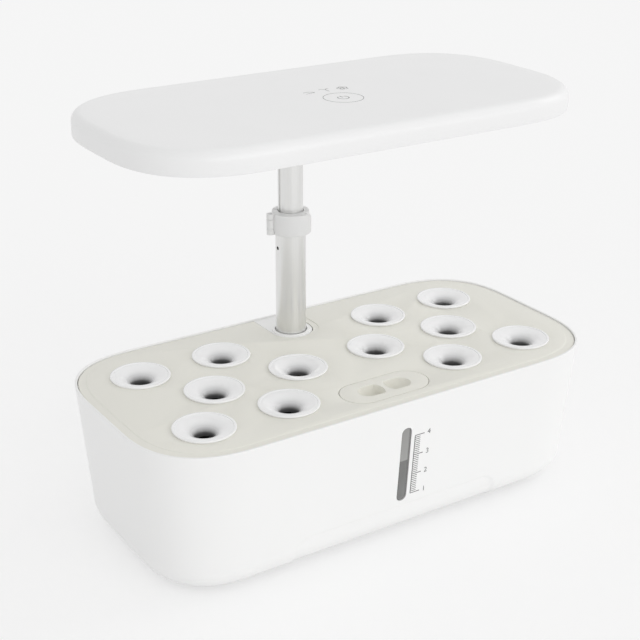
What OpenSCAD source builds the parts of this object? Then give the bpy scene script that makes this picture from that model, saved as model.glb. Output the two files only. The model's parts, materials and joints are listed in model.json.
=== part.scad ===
// Countertop hydroponic garden: a drafted water tank, a drop-in grow deck with twelve pods,
// a clamped telescopic post and a slim grow lamp. Millimetres, +Z up, +Y to the rear.
// The origin is on the bench, under the middle of the whole garden's box.

/* [Deck] */
// Length of the grow deck
deck_l = 400; // [380:2:460]
// Depth of the grow deck
deck_d = 195.8; // [190:0.2:216]
// Corner radius of the deck
corner_r = 72; // [62:1:80]
// Squareness of the corners, 2 is round
corner_power = 2.6; // [2:0.1:3]
// Thickness of the deck plate
deck_t = 3.4; // [2.6:0.2:4.4]
// Height of the raised field over the border
field_step = 0.6; // [0.4:0.1:1]
// Width of the border round the field
border_w = 7; // [4:0.5:10]
// Depth of the locating skirt under the deck
skirt_h = 7; // [5:0.5:10]

/* [Tank] */
// Height of the tank rim over the bench
tank_h = 122.4; // [116:0.2:136]
// Thickness of the rim round the deck
rim_w = 1.8; // [1.4:0.1:3]
// How far the walls draw in from the rim to the base
draft = 8; // [5:0.2:11]
// Radius of the rounded base edge
base_r = 22; // [16:1:24]
// Wall thickness of the tank
wall_t = 2.4; // [1.8:0.1:3]
// Width of the ledge that carries the deck
ledge_w = 4; // [3:0.2:5]
// Length of the finger step along the front foot
step_l = 188; // [120:4:220]
// Height of the finger step
step_h = 30; // [20:1:34]
// Depth of the finger step
step_d = 1; // [0.6:0.1:1.4]
// Diameter of a rubber foot
foot_d = 18; // [12:1:24]
// Gap under the tank, which the feet hold open
foot_stand = 1.4; // [1:0.1:2.4]

/* [Level window] */
// Width of the window
window_w = 8.6; // [6:0.2:12]
// Height of the window
window_h = 65; // [48:1:70]
// Height of the window's middle over the bench
window_z = 67; // [62:1:71]
// Thickness of the window flange
window_t = 1.6; // [1.2:0.1:2.4]
// Thickness of the gasket
gasket_t = 0.8; // [0.5:0.1:1.2]

/* [Pods] */
// Diameter of the trumpet cap
cap_d = 47; // [43:0.5:48.5]
// Diameter of the cap's throat
throat_d = 14.6; // [11:0.2:17]
// Depth of the trumpet
horn_h = 7.4; // [6:0.2:10]
// Fullness of the trumpet's curve: 1 is a cone, 2 a quarter ellipse
horn_power = 1.6; // [1.4:0.1:2]
// Height of the cap's rim over the deck
cap_rise = 1.8; // [1.2:0.1:2.4]
// Wall of a cap
cap_wall = 1.5; // [1.2:0.1:2]
// Diameter of a pod seat in the deck
seat_d = 39.6; // [38:0.2:41]
// Depth of a basket under the deck
basket_h = 50; // [40:1:58]
// Diameter of a basket's floor
basket_foot_d = 24; // [18:1:30]
// Wall of a basket
basket_wall = 1.6; // [1.2:0.1:2.2]
// Width of a basket slot
slot_w = 4; // [3:0.2:5]

/* [Pod places] */
// From the deck's ends to the outer pods of the front and back rows
pod_end_inset = 51.6; // [48:0.2:56]
// Distance between neighbouring pods of the front and back rows
pod_pitch = 71.4; // [64:0.2:74]
// Distance between neighbouring pods of the middle row
mid_pitch = 74.9; // [70:0.1:78]
// Distance across the middle of the middle row
pod_mid_gap = 74.6; // [66:0.2:80]
// From the deck's front edge to the front row
pod_front_inset = 44.3; // [42:0.1:47]
// From the deck's rear edge to the back row
pod_back_inset = 48.7; // [46:0.1:51]
// How far the middle row lies in front of half way
pod_mid_shift = 1.2; // [0:0.1:2.4]

/* [Fill cap] */
// Length of the fill cap
fill_l = 76; // [66:1:84]
// Width of the fill cap
fill_w = 34; // [30:1:36]
// From the deck's front edge to the middle of the fill cap
fill_inset = 30.4; // [28.4:0.4:32.4]
// Thickness of the fill cap's flange
fill_t = 2; // [1.6:0.1:2.4]
// Depth of the grip well
well_h = 9; // [6:0.5:12]
// Thickness of the pinch grip at its waist
grip_waist = 4; // [3:0.5:7]

/* [Post] */
// From the deck's rear edge to the middle of the post
post_inset = 31.2; // [28:0.4:34]
// Outer diameter of the lower tube
tube_d = 25; // [22:0.5:27]
// Outer diameter of the upper tube
mast_d = 20.4; // [18:0.2:21]
// Wall of both tubes
tube_wall = 1.2; // [1:0.1:1.4]
// Height of the collar's top over the deck
collar_rise = 104.5; // [92:0.5:130]
// Length of the upper tube
mast_l = 190; // [170:2:196]
// Width of the keyway in the upper tube
key_w = 2.6; // [2:0.2:3.4]
// Depth of the keyway
key_d = 1; // [0.7:0.1:1.2]

/* [Clamp] */
// Height of the clamp collar
collar_h = 17.4; // [14:0.2:22]
// Radial thickness of the collar
collar_wall = 2.6; // [2.2:0.1:3.4]
// Thickness of the cam lever
lever_t = 2.8; // [2.2:0.1:3.6]
// Diameter of the lever pin
pin_d = 3; // [2.4:0.2:3.6]

/* [Lamp] */
// Length of the lamp
lamp_l = 381; // [341:2:421]
// Depth of the lamp
lamp_d = 194; // [180:2:206]
// Corner radius of the lamp
lamp_r = 87; // [70:1:89]
// Thickness of the lamp at its edge
lamp_t = 17.5; // [15:0.5:22]
// Radius of the lamp's top edge
lamp_edge = 8; // [5:0.5:9]
// Crown of the lamp's top face
lamp_crown = 1.2; // [0.6:0.2:2]
// Underside of the lamp over the deck
lamp_rise = 193; // [182:1:202]
// How far the lamp's middle lies in front of the post
lamp_ahead = 55.8; // [51:0.4:60.2]
// Wall of the lamp cover
cover_wall = 1.8; // [1.4:0.1:2.4]

/* [Pump] */
// Length of the pump housing
pump_l = 44; // [38:1:50]
// Width of the pump housing
pump_w = 30; // [26:1:34]
// Height of the pump housing
pump_h = 30; // [27:1:34]
// Place of the pump along Y
pump_y = 12; // [8:1:16]
// Outer diameter of the riser pipe
riser_d = 10; // [8:0.5:12]

/* [Hidden] */
$fn = 64;

white = [0.95, 0.95, 0.95];
greige = [0.85, 0.85, 0.83];
aluminium = [0.78, 0.78, 0.78];
black = [0.08, 0.08, 0.08];
grey = [0.35, 0.36, 0.37];
seat_gap = 0.3;
run_gap = 0.06;
eps = 0.01;
corner_steps = 12;

tank_l = deck_l + 2 * (rim_w + seat_gap);
tank_d = deck_d + 2 * (rim_w + seat_gap);
tank_r = corner_r + rim_w + seat_gap;
deck_drop = 0.4;
deck_z = tank_h - deck_drop;
ledge_z = deck_z - deck_t;
ledge_h = 2.6;
plinth_h = 1.2;
plinth_in = 1.6;
bend_end = 80;
bend_z = foot_stand + plinth_h + base_r * sin(bend_end);
draft_angle = atan(draft / (tank_h - bend_z));
inner_r = base_r - wall_t;
floor_z = bend_z - inner_r;

post_y = deck_d / 2 - post_inset;
fill_y = fill_inset - deck_d / 2;
lamp_y = post_y - lamp_ahead;

pod_x_outer = deck_l / 2 - pod_end_inset;
pod_x_inner = pod_x_outer - pod_pitch;
pod_x_mid = pod_mid_gap / 2;
pod_x_far = pod_x_mid + mid_pitch;
pod_y_back = deck_d / 2 - pod_back_inset;
pod_y_front = pod_front_inset - deck_d / 2;
pod_y_mid = (pod_y_back + pod_y_front) / 2 - pod_mid_shift;
POD_SPOTS = [
    [-pod_x_outer, pod_y_front], [-pod_x_inner, pod_y_front],
    [pod_x_inner, pod_y_front], [pod_x_outer, pod_y_front],
    [-pod_x_far, pod_y_mid], [-pod_x_mid, pod_y_mid],
    [pod_x_mid, pod_y_mid], [pod_x_far, pod_y_mid],
    [-pod_x_outer, pod_y_back], [-pod_x_inner, pod_y_back],
    [pod_x_inner, pod_y_back], [pod_x_outer, pod_y_back]
];

// A quarter of a softened corner, from +X to +Y.
function corner_arc(r) = [
    for (i = [0:corner_steps])
        let (t = 90 * i / corner_steps)
        [r * pow(cos(t), 2 / corner_power), r * pow(sin(t), 2 / corner_power)]
];
function flip(points) = [for (i = [len(points) - 1:-1:0]) points[i]];

// A rectangle with softened corners, counter-clockwise.
function outline(l, d, r) =
    let (arc = corner_arc(r), cx = l / 2 - r, cy = d / 2 - r)
    concat(
        [for (p = arc) [cx + p.x, cy + p.y]],
        [for (p = flip(arc)) [-cx - p.x, cy + p.y]],
        [for (p = arc) [-cx - p.x, -cy - p.y]],
        [for (p = flip(arc)) [cx + p.x, -cy - p.y]]
    );

// The same outline drawn in by an inset, at a height.
function ring(l, d, r, inset, z) =
    [for (p = outline(l - 2 * inset, d - 2 * inset, max(r - inset, 2))) [p.x, p.y, z]];

// A solid through a stack of rings, from the lowest to the highest.
module loft(rings) {
    n = len(rings[0]);
    m = len(rings);
    sides = [for (j = [0:m - 2], i = [0:n - 1])
        let (a = j * n + i, b = j * n + (i + 1) % n)
        [a, a + n, b + n, b]];
    floor_face = [for (i = [0:n - 1]) i];
    top_face = [for (i = [n - 1:-1:0]) (m - 1) * n + i];
    polyhedron(points = [for (one = rings) each one], faces = concat([floor_face, top_face], sides));
}

module stadium(l, w) {
    square([l - w, w], center = true);
    for (side = [-1, 1]) translate([side * (l - w) / 2, 0]) circle(d = w);
}

module soft_rect(l, w, r) {
    square([l - 2 * r, w], center = true);
    square([l, w - 2 * r], center = true);
    for (x = [-1, 1], y = [-1, 1]) translate([x * (l / 2 - r), y * (w / 2 - r)]) circle(r);
}

// Everything is drawn round the deck's middle, then moved so that the whole garden is centred.
module placed() {
    back_reach = lamp_y + lamp_d / 2;
    front_reach = tank_d / 2;
    translate([0, (front_reach - back_reach) / 2, 0]) children();
}

module pipe(outer_r, bore_r, h) {
    difference() {
        cylinder(r = outer_r, h = h);
        translate([0, 0, -1]) cylinder(r = bore_r, h = h + 2);
    }
}

// ---- tank ----
function wall_in(z) = draft * (tank_h - z) / (tank_h - bend_z);
function tank_ring(inset, z) = ring(tank_l, tank_d, tank_r, inset, z);
function bend_rings(r, first, skin) = [
    for (a = [first:-10:0]) tank_ring(draft + skin + r * (1 - cos(a)), bend_z - r * sin(a))
];
plinth_inset = draft + base_r * (1 - cos(bend_end)) + plinth_in;
ledge_in = rim_w + ledge_w;
inlet_z = 33;
inlet_r = 5.8;
well_r = tube_d / 2 + seat_gap + 3.4;
notch_r = well_r + 2.2;
chamber_top = inlet_z + inlet_r + 2;
chamber_d = 18;
well_floor = chamber_top + 4;
web_t = 3;
mouth_gap = 1.1;
mouth_h = 3;

module tank_skin(extra) {
    loft(concat(
        [tank_ring(plinth_inset + extra, foot_stand - eps)],
        [tank_ring(plinth_inset + extra, foot_stand + plinth_h)],
        bend_rings(base_r, bend_end, extra),
        [tank_ring(extra, tank_h)]
    ));
}

module tank_hollow() {
    under_ledge = ledge_z - ledge_h;
    loft(concat(
        bend_rings(inner_r, 90, wall_t),
        [tank_ring(wall_in(under_ledge - ledge_w) + wall_t, under_ledge - ledge_w)],
        [tank_ring(ledge_in, under_ledge), tank_ring(ledge_in, ledge_z)],
        [tank_ring(rim_w, ledge_z), tank_ring(rim_w, tank_h + 1)]
    ));
}

module notch_shape(grow) {
    circle(r = notch_r + grow);
    translate([-notch_r - grow, 0]) square([2 * (notch_r + grow), deck_d]);
}

// The dry column that carries the post, with its shelf in the deck's notch.
module column() {
    translate([0, post_y, floor_z - 1]) cylinder(r = well_r, h = deck_z - floor_z + 1);
    intersection() {
        translate([0, post_y, deck_z - 4]) linear_extrude(3) notch_shape(-0.8);
        translate([0, 0, deck_z - 5]) linear_extrude(5)
            polygon(outline(deck_l + rim_w, deck_d + rim_w, corner_r));
    }
    intersection() {
        union() {
            translate([-web_t / 2, post_y, bend_z]) cube([web_t, tank_d / 2 - post_y, deck_z - bend_z - 2]);
            translate([0, tank_d / 2, inlet_z]) rotate([90, 0, 0]) cylinder(r = inlet_r + wall_t, h = tank_d / 2 - post_y);
        }
        tank_skin(wall_t / 2);
    }
}

module window_place() {
    translate([0, -tank_d / 2 + wall_in(window_z), window_z]) rotate([90 + draft_angle, 0, 0]) children();
}

module foot_spots() {
    for (x = [-1, 1], y = [-1, 1])
        translate([x * (tank_l / 2 - tank_r), y * (tank_d / 2 - plinth_inset - foot_d * 0.75), 0]) children();
}
foot_seat = 1.2;

module tank() {
    color(white) difference() {
        union() {
            difference() {
                tank_skin(0);
                tank_hollow();
            }
            column();
        }
        translate([0, post_y, well_floor]) cylinder(d = tube_d + 2 * run_gap, h = tank_h);
        translate([0, post_y, deck_z - mouth_h]) cylinder(d = tube_d + 2 * mouth_gap, h = tank_h);
        translate([0, post_y, -1]) cylinder(d = 3.4, h = tank_h);
        translate([0, post_y, -1]) cylinder(d = chamber_d, h = chamber_top + 1);
        translate([0, tank_d, inlet_z]) rotate([90, 0, 0]) cylinder(r = inlet_r + run_gap, h = tank_d - post_y);
        translate([0, inlet_y, inlet_z]) rotate([-90, 0, 0]) cylinder(r = inlet_r + 2 + seat_gap, h = draft);
        window_place() translate([0, 0, -2 * wall_t]) linear_extrude(4 * wall_t)
            rotate(90) stadium(window_h + 2 * seat_gap, window_w + 2 * seat_gap);
        foot_spots() cylinder(d = foot_d + 2 * seat_gap, h = foot_stand + foot_seat);
        finger_step();
    }
}

module finger_step() {
    difference() {
        translate([-step_l / 2, -tank_d, foot_stand - 1]) cube([step_l, tank_d, step_h - foot_stand + 1]);
        tank_skin(step_d);
    }
}

module feet() {
    color(black) foot_spots() difference() {
        cylinder(d = foot_d, h = foot_stand + foot_seat);
        translate([0, 0, -eps]) cylinder(d = foot_d - 8, h = 0.6);
    }
}

// ---- level window ----
flange_w = 3;
module level_window() {
    color(grey) window_place() {
        translate([0, 0, -wall_t - gasket_t]) linear_extrude(wall_t + gasket_t - 0.2)
            rotate(90) stadium(window_h, window_w);
        translate([0, 0, -wall_t - gasket_t - window_t]) linear_extrude(window_t)
            rotate(90) stadium(window_h + 2 * flange_w, window_w + 2 * flange_w);
    }
}

module window_gasket() {
    color(black) window_place() translate([0, 0, -wall_t - gasket_t]) linear_extrude(gasket_t) difference() {
        rotate(90) stadium(window_h + 2 * flange_w, window_w + 2 * flange_w);
        rotate(90) stadium(window_h + seat_gap, window_w + seat_gap);
    }
}

// ---- power inlet ----
inlet_y = tank_d / 2 - wall_in(inlet_z);
inlet_len = 16;
module power_inlet() {
    color(black) translate([0, inlet_y, inlet_z]) rotate([90, 0, 0]) {
        difference() {
            union() {
                translate([0, 0, -1.6]) cylinder(r = inlet_r + 2, h = 1.6);
                cylinder(r = inlet_r, h = inlet_len);
            }
            translate([0, 0, -2]) cylinder(d = 5.5, h = 11);
        }
        translate([0, 0, 1]) cylinder(d = 2.1, h = 10);
    }
}

// ---- post ----
collar_z = deck_z + collar_rise;
tube_top = collar_z - 5.6;
tube_in_r = tube_d / 2 - tube_wall;
mast_r = mast_d / 2;
mast_in_r = mast_r - tube_wall;
lamp_z = deck_z + lamp_rise;
tray_z = lamp_z + 0.8;
tray_t = 2.2;
mast_seat = 3.7;
mast_top = lamp_z + lamp_t - cover_wall - mast_seat;
mast_foot = mast_top - mast_l;
bush_h = 11;
peg_z = collar_z - collar_h - 13.4;

module at_post(z) { translate([0, post_y, z]) children(); }

module lower_tube() {
    color(aluminium) difference() {
        at_post(well_floor) pipe(tube_d / 2, tube_in_r, tube_top - well_floor);
        at_post(peg_z) rotate([0, -90, 0]) cylinder(d = 3, h = tube_d);
    }
}

plug_h = 9;
module post_plug() {
    color(grey) difference() {
        at_post(well_floor) cylinder(r = tube_in_r - run_gap, h = plug_h);
        at_post(0) cylinder(d = 3.1, h = well_floor + plug_h - 1.5);
    }
}

module post_screw() {
    head_h = 3;
    color(grey) at_post(chamber_top - head_h - 0.02) {
        cylinder(d = 7, h = head_h);
        cylinder(d = 3, h = well_floor + plug_h - 2 - chamber_top + head_h);
    }
}

// Round body with a groove down its -X side.
module keyed(r, groove_w, groove_d) {
    difference() {
        circle(r);
        translate([-r - 1, -groove_w / 2]) square([groove_d + 1, groove_w]);
    }
}

module upper_tube() {
    color(aluminium) at_post(mast_foot) linear_extrude(mast_l) difference() {
        keyed(mast_r, key_w, key_d);
        difference() {
            circle(mast_in_r);
            translate([-mast_in_r - 1, -key_w / 2 - 1]) square([key_d + 1, key_w + 2]);
        }
    }
}

module tube_bush() {
    flange_h = 1.2;
    bore_r = mast_r + run_gap;
    color(grey) {
        at_post(tube_top - bush_h) pipe(tube_in_r - 0.02, bore_r, bush_h);
        at_post(tube_top) pipe(tube_d / 2, bore_r, flange_h);
        intersection() {
            at_post(tube_top - bush_h) translate([-bore_r - 0.2, -key_w / 2 + 0.15, 0])
                cube([key_d - 0.1, key_w - 0.3, bush_h + flange_h]);
            at_post(tube_top - bush_h) cylinder(r = bore_r + 0.3, h = bush_h + flange_h);
        }
    }
}

glide_h = 8;
module tube_glide() {
    color(grey) {
        at_post(mast_foot - glide_h) pipe(tube_in_r - run_gap, mast_in_r - 3, glide_h);
        at_post(mast_foot - glide_h) pipe(mast_in_r - key_d - 0.1, mast_in_r - 3, glide_h + 9);
    }
}

// ---- clamp ----
collar_r = tube_d / 2 + 0.05 + collar_wall;
pin_x = -collar_r - pin_d / 2 - 2.4;
knuckle_r = pin_d / 2 + 1.7;
knuckle_h = 8;
lip_h = (collar_h - knuckle_h - 0.6) / 2;
lever_in = collar_r + 0.5;
lever_out = lever_in + lever_t;
tip_angle = -72;

module collar_ear(z) {
    at_post(z) difference() {
        union() {
            translate([pin_x, 0, 0]) cylinder(r = knuckle_r, h = lip_h);
            translate([pin_x, -knuckle_r, 0]) cube([-pin_x - tube_d / 2 - 1, 2 * knuckle_r, lip_h]);
        }
        translate([pin_x, 0, -1]) cylinder(d = pin_d + 2 * run_gap, h = lip_h + 2);
    }
}

module clamp_collar() {
    foot = collar_z - collar_h;
    lip_z = tube_top + 1.25;
    color(white) {
        difference() {
            at_post(foot) cylinder(r = collar_r, h = collar_h);
            at_post(foot - 1) cylinder(r = tube_d / 2 + 0.05, h = lip_z - foot + 1);
            at_post(foot) cylinder(r = mast_r + 0.35, h = collar_h + 1);
            at_post(foot - 1) rotate(140) translate([0, -1.2, 0]) cube([tube_d, 2.4, collar_h + 2]);
        }
        collar_ear(foot);
        collar_ear(collar_z - lip_h);
    }
}

module lever_pin() {
    color(aluminium) at_post(collar_z - collar_h + 0.3) translate([pin_x, 0, 0])
        cylinder(d = pin_d, h = collar_h - 0.6);
}

// A band that wraps the collar from the pin to its thumb tip.
module clamp_lever() {
    start_angle = -180;
    fuse = 2;
    ear_clear_r = norm([pin_x + lever_in, knuckle_r]) + 0.5;
    foot = collar_z - collar_h;
    color(white) at_post(foot) difference() {
        union() {
            difference() {
                rotate(start_angle) rotate_extrude(angle = tip_angle + fuse - start_angle)
                    translate([lever_in, 0]) square([lever_t, collar_h]);
                for (z = [-1, collar_h - lip_h - 0.3])
                    translate([pin_x, 0, z]) cylinder(r = ear_clear_r, h = lip_h + 1.3);
            }
            translate([pin_x, 0, lip_h + 0.3]) cylinder(r = knuckle_r, h = knuckle_h);
            rotate(tip_angle) translate([lever_in, 0, 0]) lever_tip();
        }
        translate([pin_x, 0, -1]) cylinder(d = pin_d + 2 * run_gap, h = collar_h + 2);
        translate([0, 0, -1]) cylinder(r = lever_in - 0.1, h = collar_h + 2);
    }
}

module lever_tip() {
    tip_l = 4;
    tip_r = 3;
    translate([lever_t, 0, collar_h / 2]) rotate([0, -90, 0]) linear_extrude(lever_t) intersection() {
        soft_rect(collar_h, 2 * tip_l, tip_r);
        translate([-collar_h / 2, 0]) square([collar_h, tip_l]);
    }
}

// ---- deck ----
module pod_spot(i) { translate([POD_SPOTS[i - 1].x, POD_SPOTS[i - 1].y, deck_z]) children(); }

port_l = fill_l - 25;
port_w = fill_w - 13;
skirt_in = ledge_in - rim_w + 0.6;
skirt_t = 1.8;
nozzle_d = riser_d + 5;

module deck_shape(inset) {
    polygon(outline(deck_l - 2 * inset, deck_d - 2 * inset, corner_r - inset));
}

module deck() {
    function rim_ring(inset, z) = ring(deck_l, deck_d, corner_r, inset, deck_z + z);
    color(greige) difference() {
        union() {
            loft([
                rim_ring(0, -deck_t),
                rim_ring(0, -field_step - 0.8),
                rim_ring(0.3, -field_step - 0.3),
                rim_ring(0.8, -field_step),
                rim_ring(border_w - 0.8, -field_step),
                rim_ring(border_w, 0)
            ]);
            translate([0, 0, deck_z - deck_t - skirt_h]) linear_extrude(skirt_h + 1) difference() {
                deck_shape(skirt_in);
                deck_shape(skirt_in + skirt_t);
            }
            for (i = [1:12]) pod_spot(i) translate([0, 0, -deck_t - 4]) cylinder(d = seat_d + 3.6, h = 5);
        }
        for (i = [1:12]) pod_spot(i) translate([0, 0, -deck_t - 5]) cylinder(d = seat_d, h = deck_t + 6);
        translate([0, fill_y, deck_z - fill_t - 0.2]) linear_extrude(fill_t + 1) stadium(fill_l + 1.2, fill_w + 1.2);
        translate([0, fill_y, deck_z - deck_t - 1]) linear_extrude(deck_t + 2) stadium(port_l, port_w);
        translate([0, post_y, deck_z - 30]) linear_extrude(40) notch_shape(0);
        translate([0, post_y, deck_z - field_step]) linear_extrude(field_step + 1) notch_shape(border_w - 2);
        translate([0, pump_y, deck_z - deck_t - 1]) cylinder(d = riser_d - 3, h = deck_t - 0.8);
    }
}

module return_nozzle() {
    color(greige) translate([0, pump_y, deck_z - deck_t - 9]) difference() {
        cylinder(d = nozzle_d, h = 9);
        translate([0, 0, -1]) cylinder(d = riser_d + 0.6, h = 7);
        translate([0, 0, 4]) cylinder(d = riser_d - 3, h = 7);
        for (a = [0:90:270]) rotate(a) translate([0, 0, 7.4]) rotate([0, 90, 0]) cylinder(d = 2, h = nozzle_d);
    }
}

// ---- pods ----
horn_steps = 12;
lip_r = cap_d / 2 - 0.9;
plug_r = seat_d / 2 - 0.3 - basket_wall - 0.15;

// Trumpet curve from the lip down to the throat.
function horn(mouth_r, neck_r, top_z) = [
    for (i = [0:horn_steps])
        let (t = 90 * i / horn_steps, out = pow(sin(t), 2 / horn_power), down = pow(cos(t), 2 / horn_power))
        [mouth_r - (mouth_r - neck_r) * out, top_z - horn_h * (1 - down)]
];

module pod_cap(i) {
    throat_r = throat_d / 2;
    neck_z = cap_rise - horn_h - 2;
    color(white) pod_spot(i) rotate_extrude() {
        polygon(concat(
            horn(lip_r, throat_r, cap_rise),
            [[throat_r, neck_z], [throat_r + cap_wall, neck_z]],
            flip(horn(lip_r - cap_wall, throat_r + cap_wall, cap_rise - cap_wall)),
            [[cap_d / 2 - 0.5, cap_rise - cap_wall], [cap_d / 2, cap_rise - cap_wall + 0.4]],
            [[cap_d / 2, cap_rise - 0.5], [cap_d / 2 - 0.3, cap_rise - 0.1]]
        ));
        translate([plug_r - cap_wall, -7]) square([cap_wall, 7 + cap_rise - cap_wall + 0.2]);
        translate([plug_r, 0.02]) square([2.2, cap_rise - cap_wall]);
    }
}

module pod_basket(i) {
    top_z = -0.8;
    mouth_r = seat_d / 2 - 0.3;
    foot_r = basket_foot_d / 2;
    band = 10;
    foot_z = -basket_h;
    tier = (basket_h - band - 5) / 2;
    color(black) pod_spot(i) difference() {
        rotate_extrude() polygon([
            [0, foot_z], [foot_r - 1, foot_z], [foot_r, foot_z + 1],
            [mouth_r, -band], [mouth_r, top_z], [mouth_r - basket_wall, top_z],
            [mouth_r - basket_wall, -band], [foot_r - basket_wall, foot_z + 2], [0, foot_z + 2]
        ]);
        for (a = [0:45:135], z = [foot_z + 3, foot_z + 5 + tier])
            rotate(a) translate([-seat_d / 2, -slot_w / 2, z]) cube([seat_d, slot_w, tier - 1]);
        for (a = [0:90:270]) rotate(a + 22.5) translate([foot_r * 0.5, 0, foot_z - 1]) cylinder(d = 4, h = 4);
    }
}

// ---- fill cap ----
module fill_cap() {
    cup_l = port_l - 1.2;
    cup_w = port_w - 1.2;
    cup_wall = 1.5;
    well_l = cup_l - 2 * cup_wall;
    well_w = cup_w - 2 * cup_wall;
    color(greige) translate([0, fill_y, deck_z]) difference() {
        union() {
            translate([0, 0, -fill_t]) linear_extrude(fill_t) stadium(fill_l, fill_w);
            translate([0, 0, -well_h - 1.6]) linear_extrude(well_h + 1) stadium(cup_l, cup_w);
        }
        difference() {
            translate([0, 0, -well_h]) linear_extrude(well_h + 1) stadium(well_l, well_w);
            pinch_grip(well_w);
        }
    }
}

module pinch_grip(w) {
    block_l = 17;
    scoop_r = 13;
    translate([0, 0, -well_h - 1]) difference() {
        translate([-block_l / 2, -w / 2 - 1, 0]) cube([block_l, w + 2, well_h + 1]);
        for (side = [-1, 1]) translate([side * (scoop_r + grip_waist / 2), 0, -1]) cylinder(r = scoop_r, h = well_h + 3);
    }
}

// ---- lamp ----
function lamp_ring(inset, z) =
    [for (p = ring(lamp_l, lamp_d, lamp_r, inset, z)) [p.x, p.y + lamp_y, p.z]];
lamp_top = lamp_z + lamp_t;
tray_gap = 0.4;

module lamp_skin(skin, low) {
    r = lamp_edge - skin;
    loft(concat(
        [lamp_ring(skin, low)],
        [for (a = [0:15:90]) lamp_ring(skin + r * (1 - cos(a)), lamp_top - lamp_edge + r * sin(a))],
        [lamp_ring(lamp_edge + 20, lamp_top - skin + lamp_crown * 0.5)],
        [lamp_ring(lamp_edge + 60, lamp_top - skin + lamp_crown)]
    ));
}

screw_end_inset = 40;
screw_side_inset = 14;
screw_corner_inset = 10;
module screw_spots() {
    for (x = [-1, 0, 1], y = [-1, 1]) {
        side_inset = screw_side_inset + abs(x) * screw_corner_inset;
        translate([x * (lamp_l / 2 - screw_end_inset), lamp_y + y * (lamp_d / 2 - side_inset), 0]) children();
    }
}

boss_r = 3;
board_end_inset = 40.5;
board_side_inset = 49;
board_shift = 26;
board_edge = 7;
board_l = lamp_l - 2 * board_end_inset;
board_w = lamp_d - 2 * board_side_inset;
board_y = lamp_y - board_shift;
board_t = 1.6;
glass_t = 1.8;
glass_lap = 4;
glass_l = board_l - 12;
glass_w = board_w - 4;
glass_r = 12;
glass_z = tray_z + tray_t;
board_z = glass_z + 6;

module lamp_cover() {
    color(white) {
        difference() {
            lamp_skin(0, lamp_z);
            lamp_skin(cover_wall, lamp_z - 1);
        }
        screw_spots() translate([0, 0, tray_z + tray_t])
            pipe(boss_r, 1.2, lamp_top - cover_wall / 2 - tray_z - tray_t);
    }
}

module lamp_tray() {
    inset = cover_wall + tray_gap;
    stand_d = 5;
    stand_inset = 4;
    opening_l = glass_l - 2 * glass_lap;
    opening_w = glass_w - 2 * glass_lap;
    opening_r = 10;
    color(white) difference() {
        union() {
            translate([0, lamp_y, tray_z]) linear_extrude(tray_t)
                polygon(outline(lamp_l - 2 * inset, lamp_d - 2 * inset, lamp_r - inset));
            for (x = [-1, 1], y = [-1, 1])
                translate([x * (board_l / 2 - stand_inset), board_y + y * (board_w / 2 + stand_inset), tray_z])
                    cylinder(d = stand_d, h = board_z - tray_z);
        }
        translate([0, board_y, tray_z - 1]) linear_extrude(tray_t + 2)
            soft_rect(opening_l, opening_w, opening_r);
        at_post(tray_z - 1) cylinder(r = mast_r + 0.3, h = tray_t + 2);
        screw_spots() translate([0, 0, tray_z - 1]) cylinder(d = 2.8, h = tray_t + 2);
        hub_spots() translate([0, 0, tray_z - 1]) cylinder(d = 3.4, h = tray_t + 2);
    }
}

head_t = 0.8;
module lamp_screws() {
    grip_l = 6;
    color(aluminium) screw_spots() {
        translate([0, 0, tray_z - head_t]) cylinder(d = 5, h = head_t);
        translate([0, 0, tray_z - eps]) cylinder(d = 2.3, h = tray_t + grip_l);
    }
}

module diffuser() {
    color([0.97, 0.97, 0.94]) translate([0, board_y, glass_z]) linear_extrude(glass_t)
        soft_rect(glass_l, glass_w, glass_r);
}

module led_board() {
    color(white) difference() {
        translate([0, board_y, board_z]) linear_extrude(board_t) soft_rect(board_l, board_w + 2 * board_edge, 4);
        at_post(board_z - 1) cylinder(r = hub_r + 1, h = board_t + 2);
        screw_spots() translate([0, 0, board_z - 1]) cylinder(r = boss_r + 1, h = board_t + 2);
    }
}

module led_chips() {
    chip = 3;
    nx = 12;
    ny = 4;
    color([0.95, 0.85, 0.45]) for (i = [0:nx - 1], j = [0:ny - 1])
        translate([(i - (nx - 1) / 2) * board_l / (nx + 1) - chip / 2,
            board_y + (j - (ny - 1) / 2) * board_w / (ny + 1) - chip / 2, board_z - 0.8])
            cube([chip, chip, 0.8]);
}

module touch_board() {
    touch_l = 54;
    touch_w = 44;
    touch_t = 1.2;
    color([0.1, 0.35, 0.2]) translate([0, lamp_y, lamp_top - cover_wall + lamp_crown - touch_t - 0.1])
        linear_extrude(touch_t) soft_rect(touch_l, touch_w, 3);
}

hub_r = 21;
module hub_spots() {
    for (a = [30:120:270]) at_post(0) rotate(a) translate([hub_r - 4.4, 0, 0]) children();
}

module lamp_hub() {
    hub_z = tray_z + tray_t;
    flange_h = 3;
    sleeve_wall = 3.2;
    stop_t = 1.5;
    color(grey) difference() {
        union() {
            at_post(hub_z) cylinder(r = hub_r, h = flange_h);
            at_post(hub_z) cylinder(r = mast_r + sleeve_wall, h = mast_top + stop_t - hub_z);
        }
        at_post(hub_z - 1) cylinder(r = mast_r + 0.02, h = mast_top - hub_z + 1);
        at_post(hub_z - 1) cylinder(r = mast_in_r - 3, h = lamp_t);
        hub_spots() translate([0, 0, hub_z - 1]) cylinder(d = 2.5, h = flange_h + 3);
    }
}

module hub_screws() {
    color(aluminium) hub_spots() {
        translate([0, 0, tray_z - head_t]) cylinder(d = 5.4, h = head_t);
        translate([0, 0, tray_z - eps]) cylinder(d = 2.4, h = tray_t + 2.6);
    }
}

// ---- pump ----
pump_lift = 5;
pump_z = floor_z + pump_lift;
rotor_r = 8;
chamber_r = rotor_r + 1;
pump_mid = pump_z + pump_h / 2;

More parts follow.
